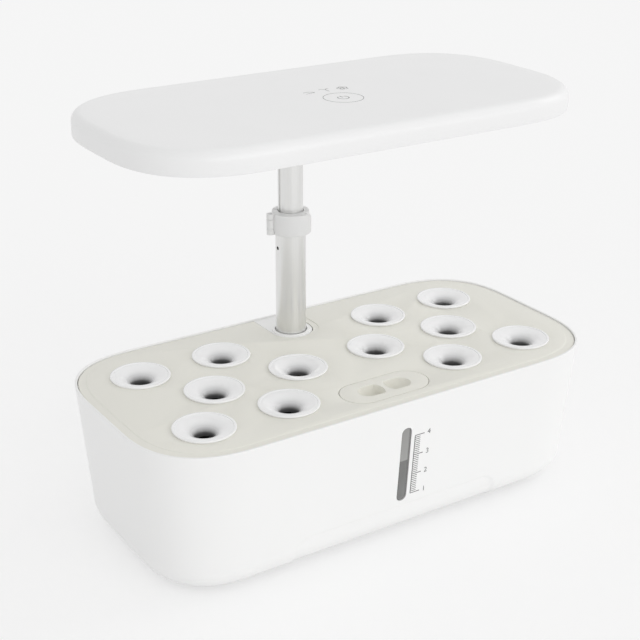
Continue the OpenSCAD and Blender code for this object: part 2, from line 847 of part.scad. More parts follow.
module at_pump(x, z) { translate([x, pump_y, z]) children(); }
module along_x() { rotate([0, 90, 0]) children(); }

module pump_housing() {
    color(black) difference() {
        union() {
            at_pump(-pump_l / 2, pump_mid) along_x() linear_extrude(pump_l) soft_rect(pump_h, pump_w, 4);
            at_pump(0, pump_mid) cylinder(d = riser_d + 3, h = pump_h / 2 + 6);
        }
        at_pump(-pump_l / 2 + 10, pump_mid) along_x() cylinder(r = chamber_r, h = pump_l);
        at_pump(-pump_l / 2 + 6, pump_mid) along_x() cylinder(d = 2.1, h = pump_l);
        at_pump(0, pump_mid) cylinder(d = riser_d + 0.1, h = pump_h);
    }
}

module impeller() {
    rotor_x = -pump_l / 2 + 11;
    color(white) at_pump(rotor_x, pump_mid) along_x() difference() {
        union() {
            cylinder(r = rotor_r - 1, h = 16);
            translate([0, 0, 16]) cylinder(r = rotor_r, h = 1.2);
            for (a = [0:60:300]) rotate(a) translate([1.8, -0.6, 17]) cube([rotor_r - 2.1, 1.2, 7]);
            cylinder(r = 3, h = 24);
        }
        translate([0, 0, -1]) cylinder(d = 2.1, h = 30);
    }
}

module impeller_shaft() {
    color(aluminium) at_pump(-pump_l / 2 + 6.2, pump_mid) along_x() cylinder(d = 2, h = pump_l - 5);
}

cover_t = 2.4;
module pump_cover() {
    color(grey) difference() {
        union() {
            at_pump(pump_l / 2, pump_mid) along_x() linear_extrude(cover_t) soft_rect(pump_h, pump_w, 4);
            at_pump(pump_l / 2 - 3, pump_mid) along_x() pipe(chamber_r - 0.2, chamber_r - 1.4, 4);
            at_pump(pump_l / 2 - 3, pump_mid) along_x() cylinder(r = 2.4, h = 4);
            at_pump(pump_l / 2 - 3, pump_mid) translate([0, -chamber_r + 0.8, -0.8]) cube([3 + eps, 2 * chamber_r - 1.6, 1.6]);
        }
        for (i = [-2:2]) if (i != 0)
            at_pump(pump_l / 2 - 1, pump_mid + i * 3.4 - 0.9) translate([0, -5, 0]) cube([cover_t + 2, 10, 1.8]);
        at_pump(pump_l / 2 - 4, pump_mid) along_x() cylinder(d = 2.1, h = 5.6);
    }
}

module pump_filter() {
    color(black) at_pump(pump_l / 2 + cover_t + 0.1, pump_mid) along_x() linear_extrude(7) soft_rect(pump_h - 4, pump_w - 4, 4);
}

module pump_feet() {
    color(black) for (x = [-1, 1], y = [-1, 1])
        translate([x * (pump_l / 2 - 8), pump_y + y * (pump_w / 2 - 7), floor_z + 0.05])
            cylinder(r1 = 5, r2 = 2.6, h = pump_lift - 0.05);
}

module riser_pipe() {
    riser_foot = pump_mid + 10;
    color(white) at_pump(0, riser_foot) pipe(riser_d / 2, riser_d / 2 - 1.4, deck_z - deck_t - 5 - riser_foot);
}

placed() tank();
placed() level_window();
placed() window_gasket();
placed() feet();
placed() post_plug();
placed() post_screw();
placed() lower_tube();
placed() tube_bush();
placed() clamp_collar();
placed() lever_pin();
placed() clamp_lever();
placed() power_inlet();
placed() pump_housing();
placed() pump_cover();
placed() pump_filter();
placed() pump_feet();
placed() impeller();
placed() impeller_shaft();
placed() riser_pipe();
placed() deck();
placed() return_nozzle();
placed() fill_cap();
placed() upper_tube();
placed() tube_glide();
placed() lamp_hub();
placed() hub_screws();
placed() lamp_cover();
placed() lamp_tray();
placed() lamp_screws();
placed() led_board();
placed() led_chips();
placed() diffuser();
placed() touch_board();
for (i = [1:12]) {
    spot = str(i < 10 ? "0" : "", i);
    placed() pod_cap(i);
    placed() pod_basket(i);
}
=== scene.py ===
"""Looks of a countertop hydroponic garden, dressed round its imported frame. All sizes are in metres."""

import json
import math

import bmesh
import bpy
from mathutils import Matrix, Vector


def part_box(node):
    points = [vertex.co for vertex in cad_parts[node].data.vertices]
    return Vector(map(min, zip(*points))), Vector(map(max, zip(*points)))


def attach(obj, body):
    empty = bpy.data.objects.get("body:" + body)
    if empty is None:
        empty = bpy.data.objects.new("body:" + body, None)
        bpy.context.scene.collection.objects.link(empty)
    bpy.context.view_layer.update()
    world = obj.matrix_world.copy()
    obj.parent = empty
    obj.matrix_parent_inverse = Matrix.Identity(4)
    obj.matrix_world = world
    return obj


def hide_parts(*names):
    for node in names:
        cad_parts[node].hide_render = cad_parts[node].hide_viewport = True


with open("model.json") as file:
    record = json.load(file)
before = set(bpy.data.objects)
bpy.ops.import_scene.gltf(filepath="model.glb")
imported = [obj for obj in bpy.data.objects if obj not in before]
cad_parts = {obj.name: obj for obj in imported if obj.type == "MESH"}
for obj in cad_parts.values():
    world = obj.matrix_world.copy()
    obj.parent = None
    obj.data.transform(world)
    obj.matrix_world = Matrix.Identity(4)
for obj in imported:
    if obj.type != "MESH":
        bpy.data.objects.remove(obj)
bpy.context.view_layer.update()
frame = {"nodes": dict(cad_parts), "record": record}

MM = 0.001
PODS = [f"{number:02d}" for number in range(1, 13)]

# ---------------------------------------------------------------- sizes read from the frame

TANK_LOW, TANK_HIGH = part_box("tank")
DECK_LOW, DECK_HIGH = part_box("deck")
LAMP_LOW, LAMP_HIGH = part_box("lamp_cover")
TUBE_LOW, TUBE_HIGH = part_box("lower_tube")
MAST_LOW, MAST_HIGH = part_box("upper_tube")
COLLAR_LOW, COLLAR_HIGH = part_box("clamp_collar")
CAP_LOW, CAP_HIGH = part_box("fill_cap")
WINDOW_LOW, WINDOW_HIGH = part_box("level_window")
PIN_LOW, PIN_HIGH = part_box("lever_pin")

DECK_Z = DECK_HIGH.z
POST = Vector(((TUBE_LOW.x + TUBE_HIGH.x) / 2, (TUBE_LOW.y + TUBE_HIGH.y) / 2, 0))
TUBE_R = (TUBE_HIGH.x - TUBE_LOW.x) / 2
MAST_R = (MAST_HIGH.y - MAST_LOW.y) / 2
TUBE_WALL = 1.2 * MM

TANK_MID_Y = (TANK_LOW.y + TANK_HIGH.y) / 2

FIT = 0.06 * MM
OVERLAP = 1 * MM
CORNER_POWER = 2.6
SMALLEST_CORNER = 2 * MM
DECK_CORNER = 72 * MM
RIM_W = 1.8 * MM
RIM_ROUND = 0.7 * MM
SEAT_GAP = 0.3 * MM
TANK_CORNER = DECK_CORNER + RIM_W + SEAT_GAP
DRAFT = 8 * MM
BASE_R = 22 * MM
WALL_T = 2.4 * MM
LEDGE_W = 4 * MM
LEDGE_T = 2.6 * MM
PLINTH_H = 1.2 * MM
PLINTH_IN = 1.6 * MM
BEND_END = math.radians(80)
BEND_Z = TANK_LOW.z + PLINTH_H + BASE_R * math.sin(BEND_END)
STEP_L = 188 * MM
STEP_H = 30 * MM
STEP_D = 1 * MM

DECK_T = 3.4 * MM
FIELD_STEP = 0.6 * MM
BORDER_W = 7 * MM
SEAT_R = 19.8 * MM
WELL_R = TUBE_R + SEAT_GAP + 3.4 * MM
NOTCH_R = WELL_R + 2.2 * MM

LAMP_CORNER = 87 * MM
LAMP_EDGE = 8 * MM
LAMP_Y = (LAMP_LOW.y + LAMP_HIGH.y) / 2
LAMP_CROWN = 1.2 * MM
COVER_WALL = 1.8 * MM


def wall_inset(z):
    """How far the tank's wall stands in from its rim at a height."""
    return DRAFT * (TANK_HIGH.z - z) / (TANK_HIGH.z - BEND_Z)


DRAFT_ANGLE = math.atan(DRAFT / (TANK_HIGH.z - BEND_Z))

# ---------------------------------------------------------------- node graphs


class Value:
    """A socket with arithmetic, which adds Math nodes to its graph."""

    def __init__(self, graph, socket):
        self.graph = graph
        self.socket = socket

    def math(self, operation, *values):
        return self.graph.node("ShaderNodeMath", dict(enumerate(values)), {"operation": operation})

    def __add__(self, other):
        return self.math("ADD", self, other)

    def __sub__(self, other):
        return self.math("SUBTRACT", self, other)

    def __rsub__(self, other):
        return self.math("SUBTRACT", other, self)

    def __mul__(self, other):
        return self.math("MULTIPLY", self, other)

    def __truediv__(self, other):
        return self.math("DIVIDE", self, other)

    def above(self, edge, soft):
        """0 below an edge and 1 above it, over a soft width."""
        ends = {"Value": self, "From Min": edge - soft, "From Max": edge + soft}
        return self.graph.node("ShaderNodeMapRange", ends, {"interpolation_type": "SMOOTHSTEP"})

    __radd__ = __add__
    __rmul__ = __mul__


class Graph:
    """A node tree that is filled with one method."""

    def __init__(self, tree):
        self.tree = tree

    def node(self, kind, inputs=None, settings=None, out=0):
        """Adds a node, sets it, then feeds its sockets with numbers, colours or other sockets."""
        node = self.tree.nodes.new(kind)
        for name, setting in (settings or {}).items():
            setattr(node, name, setting)
        for name, value in (inputs or {}).items():
            if isinstance(value, Value):
                self.tree.links.new(value.socket, node.inputs[name])
            else:
                node.inputs[name].default_value = value
        return Value(self, node.outputs[out]) if node.outputs else None

    def vector(self, x=0.0, y=0.0, z=0.0):
        return self.node("ShaderNodeCombineXYZ", {"X": x, "Y": y, "Z": z})


class Finish(Graph):
    """A material with one Principled shader, whose constants sit on its own sockets."""

    def __init__(self, name, colour, roughness, **constants):
        self.material = bpy.data.materials.new(name)
        self.material.use_nodes = True
        self.material.diffuse_color = (*colour, 1)
        super().__init__(self.material.node_tree)
        self.shader = next(n for n in self.tree.nodes if n.type == "BSDF_PRINCIPLED")
        self.set("Base Color", (*colour, 1))
        self.set("Roughness", roughness)
        for name, value in constants.items():
            self.set(name.replace("_", " "), value)

    def set(self, name, value):
        socket = self.shader.inputs[name]
        if isinstance(value, Value):
            self.tree.links.new(value.socket, socket)
        else:
            socket.default_value = value

    def place(self, scale=(1, 1, 1)):
        """Object coordinates, stretched by a scale."""
        at = self.node("ShaderNodeTexCoord", out="Object")
        return self.node("ShaderNodeMapping", {"Vector": at, "Scale": scale})

    def along(self, axis):
        """Where a point lies along an axis of the bench."""
        at = self.node("ShaderNodeTexCoord", out="Object")
        return self.node("ShaderNodeSeparateXYZ", {"Vector": at}, out=axis)

    def noise(self, scale, detail=2.0, stretch=(1, 1, 1), rough=0.5):
        sockets = {"Vector": self.place(stretch), "Scale": scale, "Detail": detail, "Roughness": rough}
        return self.node("ShaderNodeTexNoise", sockets)

    def cells(self, scale):
        return self.node("ShaderNodeTexVoronoi", {"Vector": self.place(), "Scale": scale})

    def blend(self, factor, low, high):
        """A colour between two colours."""
        mix = self.tree.nodes.new("ShaderNodeMix")
        mix.data_type = "RGBA"
        ends = {0: factor, 6: low, 7: high}
        for index, value in ends.items():
            if isinstance(value, Value):
                self.tree.links.new(value.socket, mix.inputs[index])
            elif index:
                mix.inputs[index].default_value = (*value, 1)
            else:
                mix.inputs[index].default_value = value
        return Value(self, mix.outputs[2])

    def bump(self, height, distance):
        sockets = {"Height": height, "Distance": distance, "Strength": 1.0}
        self.set("Normal", self.node("ShaderNodeBump", sockets))


def shade(colour, factor):
    """A colour made darker or lighter by a factor."""
    return tuple(min(1.0, channel * factor) for channel in colour)


# ---------------------------------------------------------------- finishes

WHITE = (0.93, 0.93, 0.925)
LAMP_WHITE = (0.885, 0.885, 0.885)
GREIGE = (0.86, 0.85, 0.785)
POD_WHITE = (0.94, 0.94, 0.945)
CLAMP_WHITE = (0.80, 0.80, 0.80)
ALUMINIUM = (0.80, 0.80, 0.79)


def moulded(name, colour, roughness, grain, depth, **constants):
    """Injection-moulded plastic: an even spark texture, soft flow shades and a few handling smudges."""
    finish = Finish(name, colour, roughness, **constants)
    flow = finish.noise(9, 3)
    smudge = finish.noise(34, 4, rough=0.62).above(0.62, 0.12)
    texture = finish.noise(grain, 2)
    finish.set("Base Color", finish.blend(flow, shade(colour, 0.985), shade(colour, 1.012)))
    finish.set("Roughness", roughness + 0.05 * (texture - 0.5) + 0.06 * smudge)
    finish.bump(texture, depth)
    return finish.material


def throated(name, colour, throat_z, fade):
    """Glossy plastic with painted shade below a height, over a soft fade: darkened nearly to black there,
    and made duller.
    """
    finish = Finish(name, colour, 0.2, Coat_Weight=0.5, Coat_Roughness=0.08)
    flow = finish.noise(12, 3)
    # depth is the painted shade's mask: 0 above the throat height, 1 deep in the throat
    depth = 1 - finish.along("Z").above(throat_z, fade)
    unshaded = finish.blend(flow, shade(colour, 0.985), shade(colour, 1.01))
    # painted shade: deep in the throat the colour falls to 8% of the white, nearly black
    finish.set("Base Color", finish.blend(0.95 * depth, unshaded, shade(colour, 0.08)))
    finish.set("Roughness", 0.18 + 0.04 * flow + 0.3 * depth)
    finish.bump(finish.noise(900, 2), 0.006 * MM)
    return finish.material


def anodised(name, colour):
    """Satin anodised tube: fine lines drawn along it and a soft cloud in the sheen."""
    finish = Finish(name, colour, 0.3, Metallic=1.0)
    drawn = finish.noise(900, 3, stretch=(1, 1, 0.012))
    cloud = finish.noise(26, 2)
    finish.set("Base Color", finish.blend(drawn, shade(colour, 0.95), shade(colour, 1.03)))
    finish.set("Roughness", 0.25 + 0.1 * drawn + 0.05 * cloud)
    finish.bump(drawn, 0.012 * MM)
    return finish.material


def turned_steel(name):
    """Bright screws with the fine rings of a lathe."""
    finish = Finish(name, (0.56, 0.56, 0.57), 0.28, Metallic=1.0)
    lines = finish.noise(2400, 2, stretch=(1, 1, 0.1))
    finish.set("Roughness", 0.2 + 0.16 * lines)
    finish.bump(lines, 0.01 * MM)
    return finish.material


def rubber(name, colour):
    """Dull rubber with a pale bloom."""
    finish = Finish(name, colour, 0.75)
    bloom = finish.noise(180, 4)
    finish.set("Base Color", finish.blend(bloom, shade(colour, 0.8), shade(colour, 1.5)))
    finish.set("Roughness", 0.62 + 0.22 * bloom)
    finish.bump(finish.noise(1500, 2), 0.03 * MM)
    return finish.material


def foam(name, colour):
    """Open-cell sponge: cells that hold shadow."""
    finish = Finish(name, colour, 0.95)
    cells = finish.cells(900)
    finish.set("Base Color", finish.blend(cells, shade(colour, 0.3), shade(colour, 1.8)))
    finish.set("Roughness", 0.85 + 0.12 * cells)
    finish.bump(cells, 0.4 * MM)
    return finish.material


def smoked(name, water_z, side_x):
    """Level window: pale smoke over the water line, deep smoke under it, and a painted shade band down its
    right edge for the shaded side wall of its slot.
    """
    # side is the colour of the painted shade band at the lens's right edge
    empty, full, side = (0.33, 0.33, 0.32), (0.185, 0.185, 0.18), (0.12, 0.12, 0.118)
    soft, fade = 0.6 * MM, 20 * MM
    finish = Finish(name, full, 0.08, Coat_Weight=0.6, Coat_Roughness=0.05)
    height = finish.along("Z")
    wet = 1 - height.above(water_z, soft)
    air = finish.blend(height.above(water_z + 14 * MM, fade), empty, shade(empty, 0.86))
    deep = finish.blend(height.above(water_z - 30 * MM, fade), full, shade(full, 0.84))
    # painted shade: right of side_x the lens darkens to the side colour, for the slot's shaded wall seen
    # through it
    edge = finish.along("X").above(side_x, soft)
    finish.set("Base Color", finish.blend(0.85 * edge, finish.blend(wet, air, deep), side))
    finish.set("Roughness", 0.06 + 0.05 * finish.noise(300, 2))
    return finish.material


def ink(name, colour):
    """Pad-printed ink, a little broken at its edge."""
    finish = Finish(name, colour, 0.5)
    speck = finish.noise(3000, 3)
    finish.set("Base Color", finish.blend(speck, shade(colour, 0.8), shade(colour, 1.25)))
    finish.set("Roughness", 0.42 + 0.2 * speck)
    return finish.material


def milk(name):
    """Milky diffuser with a fine prism pattern."""
    finish = Finish(name, (0.88, 0.88, 0.86), 0.4, Subsurface_Weight=0.15)
    prisms = finish.cells(700)
    finish.set("Roughness", 0.34 + 0.2 * prisms)
    finish.bump(prisms, 0.08 * MM)
    return finish.material


def solder_mask(name, colour):
    """Lacquered circuit board with copper fields under the lacquer."""
    finish = Finish(name, colour, 0.4)
    copper = finish.noise(240, 1).above(0.55, 0.02)
    finish.set("Base Color", finish.blend(copper, colour, shade(colour, 1.12)))
    finish.set("Roughness", 0.34 + 0.12 * copper)
    finish.bump(copper, 0.02 * MM)
    return finish.material


def phosphor(name):
    """Grainy yellow phosphor under a clear lens."""
    finish = Finish(name, (0.86, 0.68, 0.16), 0.35, Coat_Weight=0.4)
    grain = finish.noise(2600, 3)
    finish.set("Base Color", finish.blend(grain, (0.80, 0.58, 0.10), (0.92, 0.78, 0.26)))
    finish.set("Roughness", 0.3 + 0.15 * grain)
    return finish.material


shell_coat = {"Coat_Weight": 0.12, "Coat_Roughness": 0.2}
lamp_coat = {"Coat_Weight": 0.12, "Coat_Roughness": 0.22}
shell_white = moulded("shell_white", WHITE, 0.34, 1400, 0.012 * MM, **shell_coat)
lamp_white = moulded("lamp_white", LAMP_WHITE, 0.36, 1500, 0.012 * MM, **lamp_coat)
deck_greige = moulded("deck_greige", GREIGE, 0.46, 1800, 0.03 * MM)
cap_greige = moulded("cap_greige", shade(GREIGE, 0.995), 0.46, 1800, 0.03 * MM)
# the pods' white, with painted shade darkening their throats
pod_white = throated("pod_white", POD_WHITE, DECK_Z - 4.6 * MM, 4.4 * MM)
# near-black baskets: painted shade that keeps the holes under the pods dark
basket_black = moulded("basket_black", (0.008, 0.008, 0.008), 0.5, 1200, 0.02 * MM)
clamp_white = moulded("clamp_white", CLAMP_WHITE, 0.42, 1600, 0.02 * MM)
inner_grey = moulded("inner_grey", (0.3, 0.3, 0.3), 0.5, 1200, 0.02 * MM)
moulded_black = moulded("moulded_black", (0.02, 0.02, 0.021), 0.45, 1300, 0.02 * MM)
rotor_white = moulded("rotor_white", (0.82, 0.82, 0.82), 0.35, 900, 0.01 * MM)
pipe_pale = moulded("pipe_pale", (0.75, 0.76, 0.76), 0.3, 700, 0.01 * MM, Coat_Weight=0.3)
satin_aluminium = anodised("satin_aluminium", ALUMINIUM)
screw_steel = turned_steel("screw_steel")
soft_black = rubber("soft_black", (0.02, 0.02, 0.02))
# a black sponge, whose near-black also serves as painted shade in the holes under the pods
sponge = foam("sponge", (0.03, 0.03, 0.03))
board_white = solder_mask("board_white", (0.84, 0.84, 0.83))
board_green = solder_mask("board_green", (0.03, 0.2, 0.09))
led_yellow = phosphor("led_yellow")
diffuser_milk = milk("diffuser_milk")
scale_ink = ink("scale_ink", (0.06, 0.06, 0.06))
touch_ink = ink("touch_ink", (0.24, 0.24, 0.24))

WATER_Z = 71 * MM
# where the painted shade band on the lens starts
LENS_SIDE_X = 2.7 * MM
smoked_clear = smoked("smoked_clear", WATER_Z, LENS_SIDE_X)

FINISHES = {
    "shell_white": shell_white,
    "lamp_white": lamp_white,
    "deck_greige": deck_greige,
    "cap_greige": cap_greige,
    "pod_white": pod_white,
    "basket_black": basket_black,
    "clamp_white": clamp_white,
    "inner_grey": inner_grey,
    "moulded_black": moulded_black,
    "rotor_white": rotor_white,
    "pipe_clear": pipe_pale,
    "satin_aluminium": satin_aluminium,
    "screw_steel": screw_steel,
    "soft_black": soft_black,
    "sponge": sponge,
    "board_white": board_white,
    "board_green": board_green,
    "led_yellow": led_yellow,
    "diffuser_milk": diffuser_milk,
    "smoked_clear": smoked_clear,
}


def dress_frame():
    """Gives every node of the frame the finish of its slot."""
    slots = {entry["node"]: entry["material_slot"] for entry in frame["record"]["subparts"]}
    for name, node in frame["nodes"].items():
        for index in range(max(1, len(node.material_slots))):
            if node.material_slots:
                node.material_slots[index].material = FINISHES[slots[name]]
            else:
                node.data.materials.append(FINISHES[slots[name]])


# ---------------------------------------------------------------- mesh tools


SMOOTH_ANGLE = 35
BEVEL_ANGLE = 50
SEAM = 0.001 * MM


def shade_smooth(mesh, smooth_angle=SMOOTH_ANGLE):
    """Smooth shading, with edges past an angle in degrees kept crisp."""
    mesh.shade_smooth()
    mesh.set_sharp_from_angle(angle=math.radians(smooth_angle))


def mesh_object(name, mesh, material, smooth_angle=SMOOTH_ANGLE):
    mesh.materials.clear()
    mesh.materials.append(material)
    shade_smooth(mesh, smooth_angle)
    piece = bpy.data.objects.new(name, mesh)
    bpy.context.scene.collection.objects.link(piece)
    return piece


def from_bmesh(name, bm, material, smooth_angle=SMOOTH_ANGLE):
    mesh = bpy.data.meshes.new(name)
    bm.to_mesh(mesh)
    bm.free()
    return mesh_object(name, mesh, material, smooth_angle)


def plain_mesh(holder):
    """The mesh that an object shows, modifiers and all."""
    bpy.context.view_layer.update()
    graph = bpy.context.evaluated_depsgraph_get()
    return bpy.data.meshes.new_from_object(holder.evaluated_get(graph))


def bake_modifiers(piece):
    """Turns a piece's modifiers into plain mesh."""
    mesh = plain_mesh(piece)
    piece.modifiers.clear()
    piece.data = mesh
    shade_smooth(mesh)
    return piece


def soften(piece, width, segments):
    """Rounds the sharp edges of a piece."""
    modifier = piece.modifiers.new("edge", "BEVEL")
    modifier.width = width
    modifier.segments = segments
    modifier.limit_method = "ANGLE"
    modifier.angle_limit = math.radians(BEVEL_ANGLE)
    modifier.use_clamp_overlap = True
    return bake_modifiers(piece)


def combine(piece, others, operation):
    """Cuts or joins a piece with others, which are used up."""
    for other in others:
        modifier = piece.modifiers.new("part", "BOOLEAN")
        modifier.operation = operation
        modifier.solver = "EXACT"
        modifier.object = other
    bake_modifiers(piece)
    for other in others:
        bpy.data.objects.remove(other)
    return piece


def carve(piece, cutters):
    """Cuts shapes out of a piece."""
    return combine(piece, cutters, "DIFFERENCE")


def fuse(piece, parts):
    """Grows a piece by shapes that overlap it."""
    return combine(piece, parts, "UNION")


def joined(name, pieces, material):
    """One piece of several closed shells."""
    bm = bmesh.new()
    for piece in pieces:
        bm.from_mesh(piece.data)
        bpy.data.objects.remove(piece)
    return from_bmesh(name, bm, material)


def finish_piece(piece, body, slot, *nodes):
    """Seats a finished piece on its body, and lets it stand for nodes of the frame."""
    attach(piece, body)
    if nodes:
        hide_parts(*nodes)
    return piece


def outline(length, depth, radius, corner, long_side, short_side):
    """Counter-clockwise points of a rectangle with soft corners, and how many points each stretch has."""
    cx, cy = length / 2 - radius, depth / 2 - radius
    quarter = []
    for step in range(corner + 1):
        turn = math.pi / 2 * step / corner
        x = radius * max(math.cos(turn), 0) ** (2 / CORNER_POWER)
        y = radius * max(math.sin(turn), 0) ** (2 / CORNER_POWER)
        quarter.append((cx + x, cy + y))
    back = quarter[::-1]
    corners = [
        quarter,
        [(-x, y) for x, y in back],
        [(-x, -y) for x, y in quarter],
        [(x, -y) for x, y in back],
    ]
    points = []
    for number, here in enumerate(corners):
        points += here
        ahead = corners[(number + 1) % 4][0]
        count = long_side if number % 2 == 0 else short_side
        for step in range(1, count + 1):
            share = step / (count + 1)
            points.append(tuple(a + (b - a) * share for a, b in zip(here[-1], ahead)))
    return points


def plan_ring(low, high, corner, inset, z, counts):
    """The soft-cornered plan of a box, drawn in by an inset and laid at a height."""
    size, middle = high - low, (low + high) / 2
    radius = max(corner - inset, SMALLEST_CORNER)
    flat = outline(size.x - 2 * inset, size.y - 2 * inset, radius, *counts)
    return [Vector((x + middle.x, y + middle.y, z)) for x, y in flat]


def skin(bm, rings, caps):
    """Adds faces through rings of points, wound so that rings that rise face outwards."""
    rows = [[bm.verts.new(point) for point in ring] for ring in rings]
    for low, high in zip(rows, rows[1:]):
        for i, start in enumerate(low):
            j = (i + 1) % len(low)
            bm.faces.new((start, low[j], high[j], high[i]))
    if caps[0]:
        bm.faces.new(rows[0][::-1])
    if caps[1]:
        bm.faces.new(rows[-1])


def weld(bm):
    """Closes the seams and turns all faces outwards."""
    bmesh.ops.remove_doubles(bm, verts=bm.verts, dist=SEAM)
    bmesh.ops.recalc_face_normals(bm, faces=bm.faces)


def loft(name, rings, material, smooth_angle=SMOOTH_ANGLE):
    """A solid through rings of points, closed at both ends."""
    bm = bmesh.new()
    skin(bm, rings, (True, True))
    return from_bmesh(name, bm, material, smooth_angle)


def revolve(name, profile, centre, material, steps=96):
    """Turns a closed profile of (radius, height) points about a vertical axis."""
    rings = []
    for radius, height in profile + profile[:1]:
        ring = []
        for step in range(steps):
            turn = 2 * math.pi * step / steps
            ring.append(centre + Vector((radius * math.cos(turn), radius * math.sin(turn), height)))
        rings.append(ring)
    bm = bmesh.new()
    skin(bm, rings, (False, False))
    weld(bm)
    return from_bmesh(name, bm, material)


def prism(name, points, low, high, material):
    """A flat outline raised from one height to another."""
    rings = [[Vector((x, y, z)) for x, y in points] for z in (low, high)]
    return loft(name, rings, material)


def circle_points(centre, radius, steps):
    """Counter-clockwise points of a full circle."""
    return arc_points(centre, radius, 0, 360 - 360 / steps, steps - 1)


def disc(name, centre, radius, low, high, material, steps=48):
    """An upright round bar."""
    return prism(name, circle_points((centre.x, centre.y), radius, steps), low, high, material)


def arc_points(centre, radius, start, end, steps):
    """Points along an arc, its angles in degrees."""
    points = []
    for step in range(steps + 1):
        turn = math.radians(start + (end - start) * step / steps)
        points.append((centre[0] + radius * math.cos(turn), centre[1] + radius * math.sin(turn)))
    return points


def stadium(length, width, centre=(0, 0), steps=20):
    """Counter-clockwise points of a slot that lies along X."""
    half = (length - width) / 2
    right = arc_points((centre[0] + half, centre[1]), width / 2, -90, 90, steps)
    left = arc_points((centre[0] - half, centre[1]), width / 2, 90, 270, steps)
    return right + left


def rounded_edge(radius, steps, turn_from, turn_to):
    """(outwards, upwards) offsets along an edge round, its angles in degrees."""
    return arc_points((0, 0), radius, turn_from, turn_to, steps)


def smooth(edge_low, edge_high, value):
    """0 below one edge and 1 above the other, with a soft rise between them."""
    share = min(1, max(0, (value - edge_low) / (edge_high - edge_low)))
    return share * share * (3 - 2 * share)


# ---------------------------------------------------------------- tank


def finger_step(point):
    """How far the finger step along the front foot draws a wall point in."""
    if point.y > TANK_MID_Y:
        return 0
    corner, soft = 12 * MM, 0.5 * MM
    dx = abs(point.x) - (STEP_L / 2 - corner)
    dz = point.z - (STEP_H - corner)
    outside = math.hypot(max(dx, 0), max(dz, 0)) - corner
    return STEP_D * (1 - smooth(-soft, soft, outside))


def tank_ring(inset, z):
    """The tank's plan at a height, with many points along the finger step."""
    return plan_ring(TANK_LOW, TANK_HIGH, TANK_CORNER, inset, z, (28, 140, 6))


def outer_rings():
    """The outside from the foot to just under the rim, with the finger step drawn in."""
    edge = 0.3 * MM
    fine = 0.25 * MM
    bend_steps, wall_steps = 16, 24
    foot = DRAFT + BASE_R * (1 - math.cos(BEND_END)) + PLINTH_IN
    rings = [tank_ring(foot + edge, TANK_LOW.z), tank_ring(foot, TANK_LOW.z + edge)]
    rings.append(tank_ring(foot, TANK_LOW.z + PLINTH_H - 0.2 * MM))
    for step in range(bend_steps + 1):
        turn = BEND_END * (1 - step / bend_steps)
        rings.append(tank_ring(DRAFT + BASE_R * (1 - math.cos(turn)), BEND_Z - BASE_R * math.sin(turn)))
    z = BEND_Z
    while z < STEP_H + 1.2 * MM:
        z += fine
        rings.append(tank_ring(wall_inset(z), z))
    rise = TANK_HIGH.z - RIM_ROUND - z
    for step in range(1, wall_steps + 1):
        height = z + rise * step / wall_steps
        rings.append(tank_ring(wall_inset(height), height))
    for ring in rings:
        for point in ring:
            point.y += finger_step(point)
    return rings


def rim_rings():
    """The rim's two rounded edges."""
    inner_edge = 0.4 * MM
    rings = []
    for out, up in rounded_edge(RIM_ROUND, 5, 20, 90):
        rings.append(tank_ring(RIM_ROUND - out, TANK_HIGH.z - RIM_ROUND + up))
    for out, up in rounded_edge(inner_edge, 3, 90, 180):
        rings.append(tank_ring(RIM_W - inner_edge - out, TANK_HIGH.z - inner_edge + up))
    return rings


def inner_rings():
    """The inside: the seat of the deck, the ledge under it, the wall and the rounded floor."""
    seat = DECK_Z - DECK_T
    under_ledge = seat - LEDGE_T
    low = under_ledge - LEDGE_W
    inner_r = BASE_R - WALL_T
    steps = 8
    ledge = RIM_W + LEDGE_W
    rings = [tank_ring(RIM_W, seat), tank_ring(ledge, seat), tank_ring(ledge, under_ledge)]
    rings += [tank_ring(wall_inset(low) + WALL_T, low), tank_ring(DRAFT + WALL_T, BEND_Z)]
    for step in range(1, steps + 1):
        turn = math.pi / 2 * step / steps
        inset = DRAFT + WALL_T + inner_r * (1 - math.cos(turn))
        rings.append(tank_ring(inset, BEND_Z - inner_r * math.sin(turn)))
    return rings


def build_tank():
    """The moulded tank: outside, rim and hollow in one skin, with the post's column and all its holes."""
    shell = loft("tank_shell", outer_rings() + rim_rings() + inner_rings(), shell_white)
    fuse(shell, column_shapes())
    return carve(shell, tank_cutters())


INLET_LOW, INLET_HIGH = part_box("power_inlet")
INLET_Z = (INLET_LOW.z + INLET_HIGH.z) / 2
INLET_R = 5.8 * MM
FOOT_LOW, FOOT_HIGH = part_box("feet")
FOOT_R = 9 * MM
CHAMBER_R = 9 * MM
SCREW_HOLE_R = 1.7 * MM
MOUTH_R = TUBE_R + 1.1 * MM


def socket_bar(name, radius, front, back):
    """A round bar at the power socket's height, which lies along Y."""
    flat = circle_points((0, INLET_Z), radius, 48)
    rings = [[Vector((x, y, z)) for x, z in flat] for y in (back, front)]
    return loft(name, rings, shell_white)


def column_shapes():
    """The dry column under the post, its shelf in the deck's notch, its web and the socket's sleeve."""
    floor_z = BEND_Z - BASE_R + WALL_T
    back = TANK_HIGH.y - DRAFT - WALL_T
    column = disc("column", POST, WELL_R, floor_z - OVERLAP, DECK_Z, shell_white, 72)
    shelf_top = DECK_Z - 1 * MM
    shelf_plan = notch_points(-0.8 * MM, DECK_HIGH.y + 0.9 * MM)
    shelf = prism("shelf", shelf_plan, shelf_top - 3 * MM, shelf_top, shell_white)
    half = 1.5 * MM
    behind = back + OVERLAP / 2
    web_plan = [(-half, POST.y), (half, POST.y), (half, behind), (-half, behind)]
    web = prism("web", web_plan, BEND_Z, DECK_Z - 2.2 * MM, shell_white)
    sleeve = socket_bar("sleeve", INLET_R + WALL_T, POST.y, back + OVERLAP)
    return [column, shelf, web, sleeve]


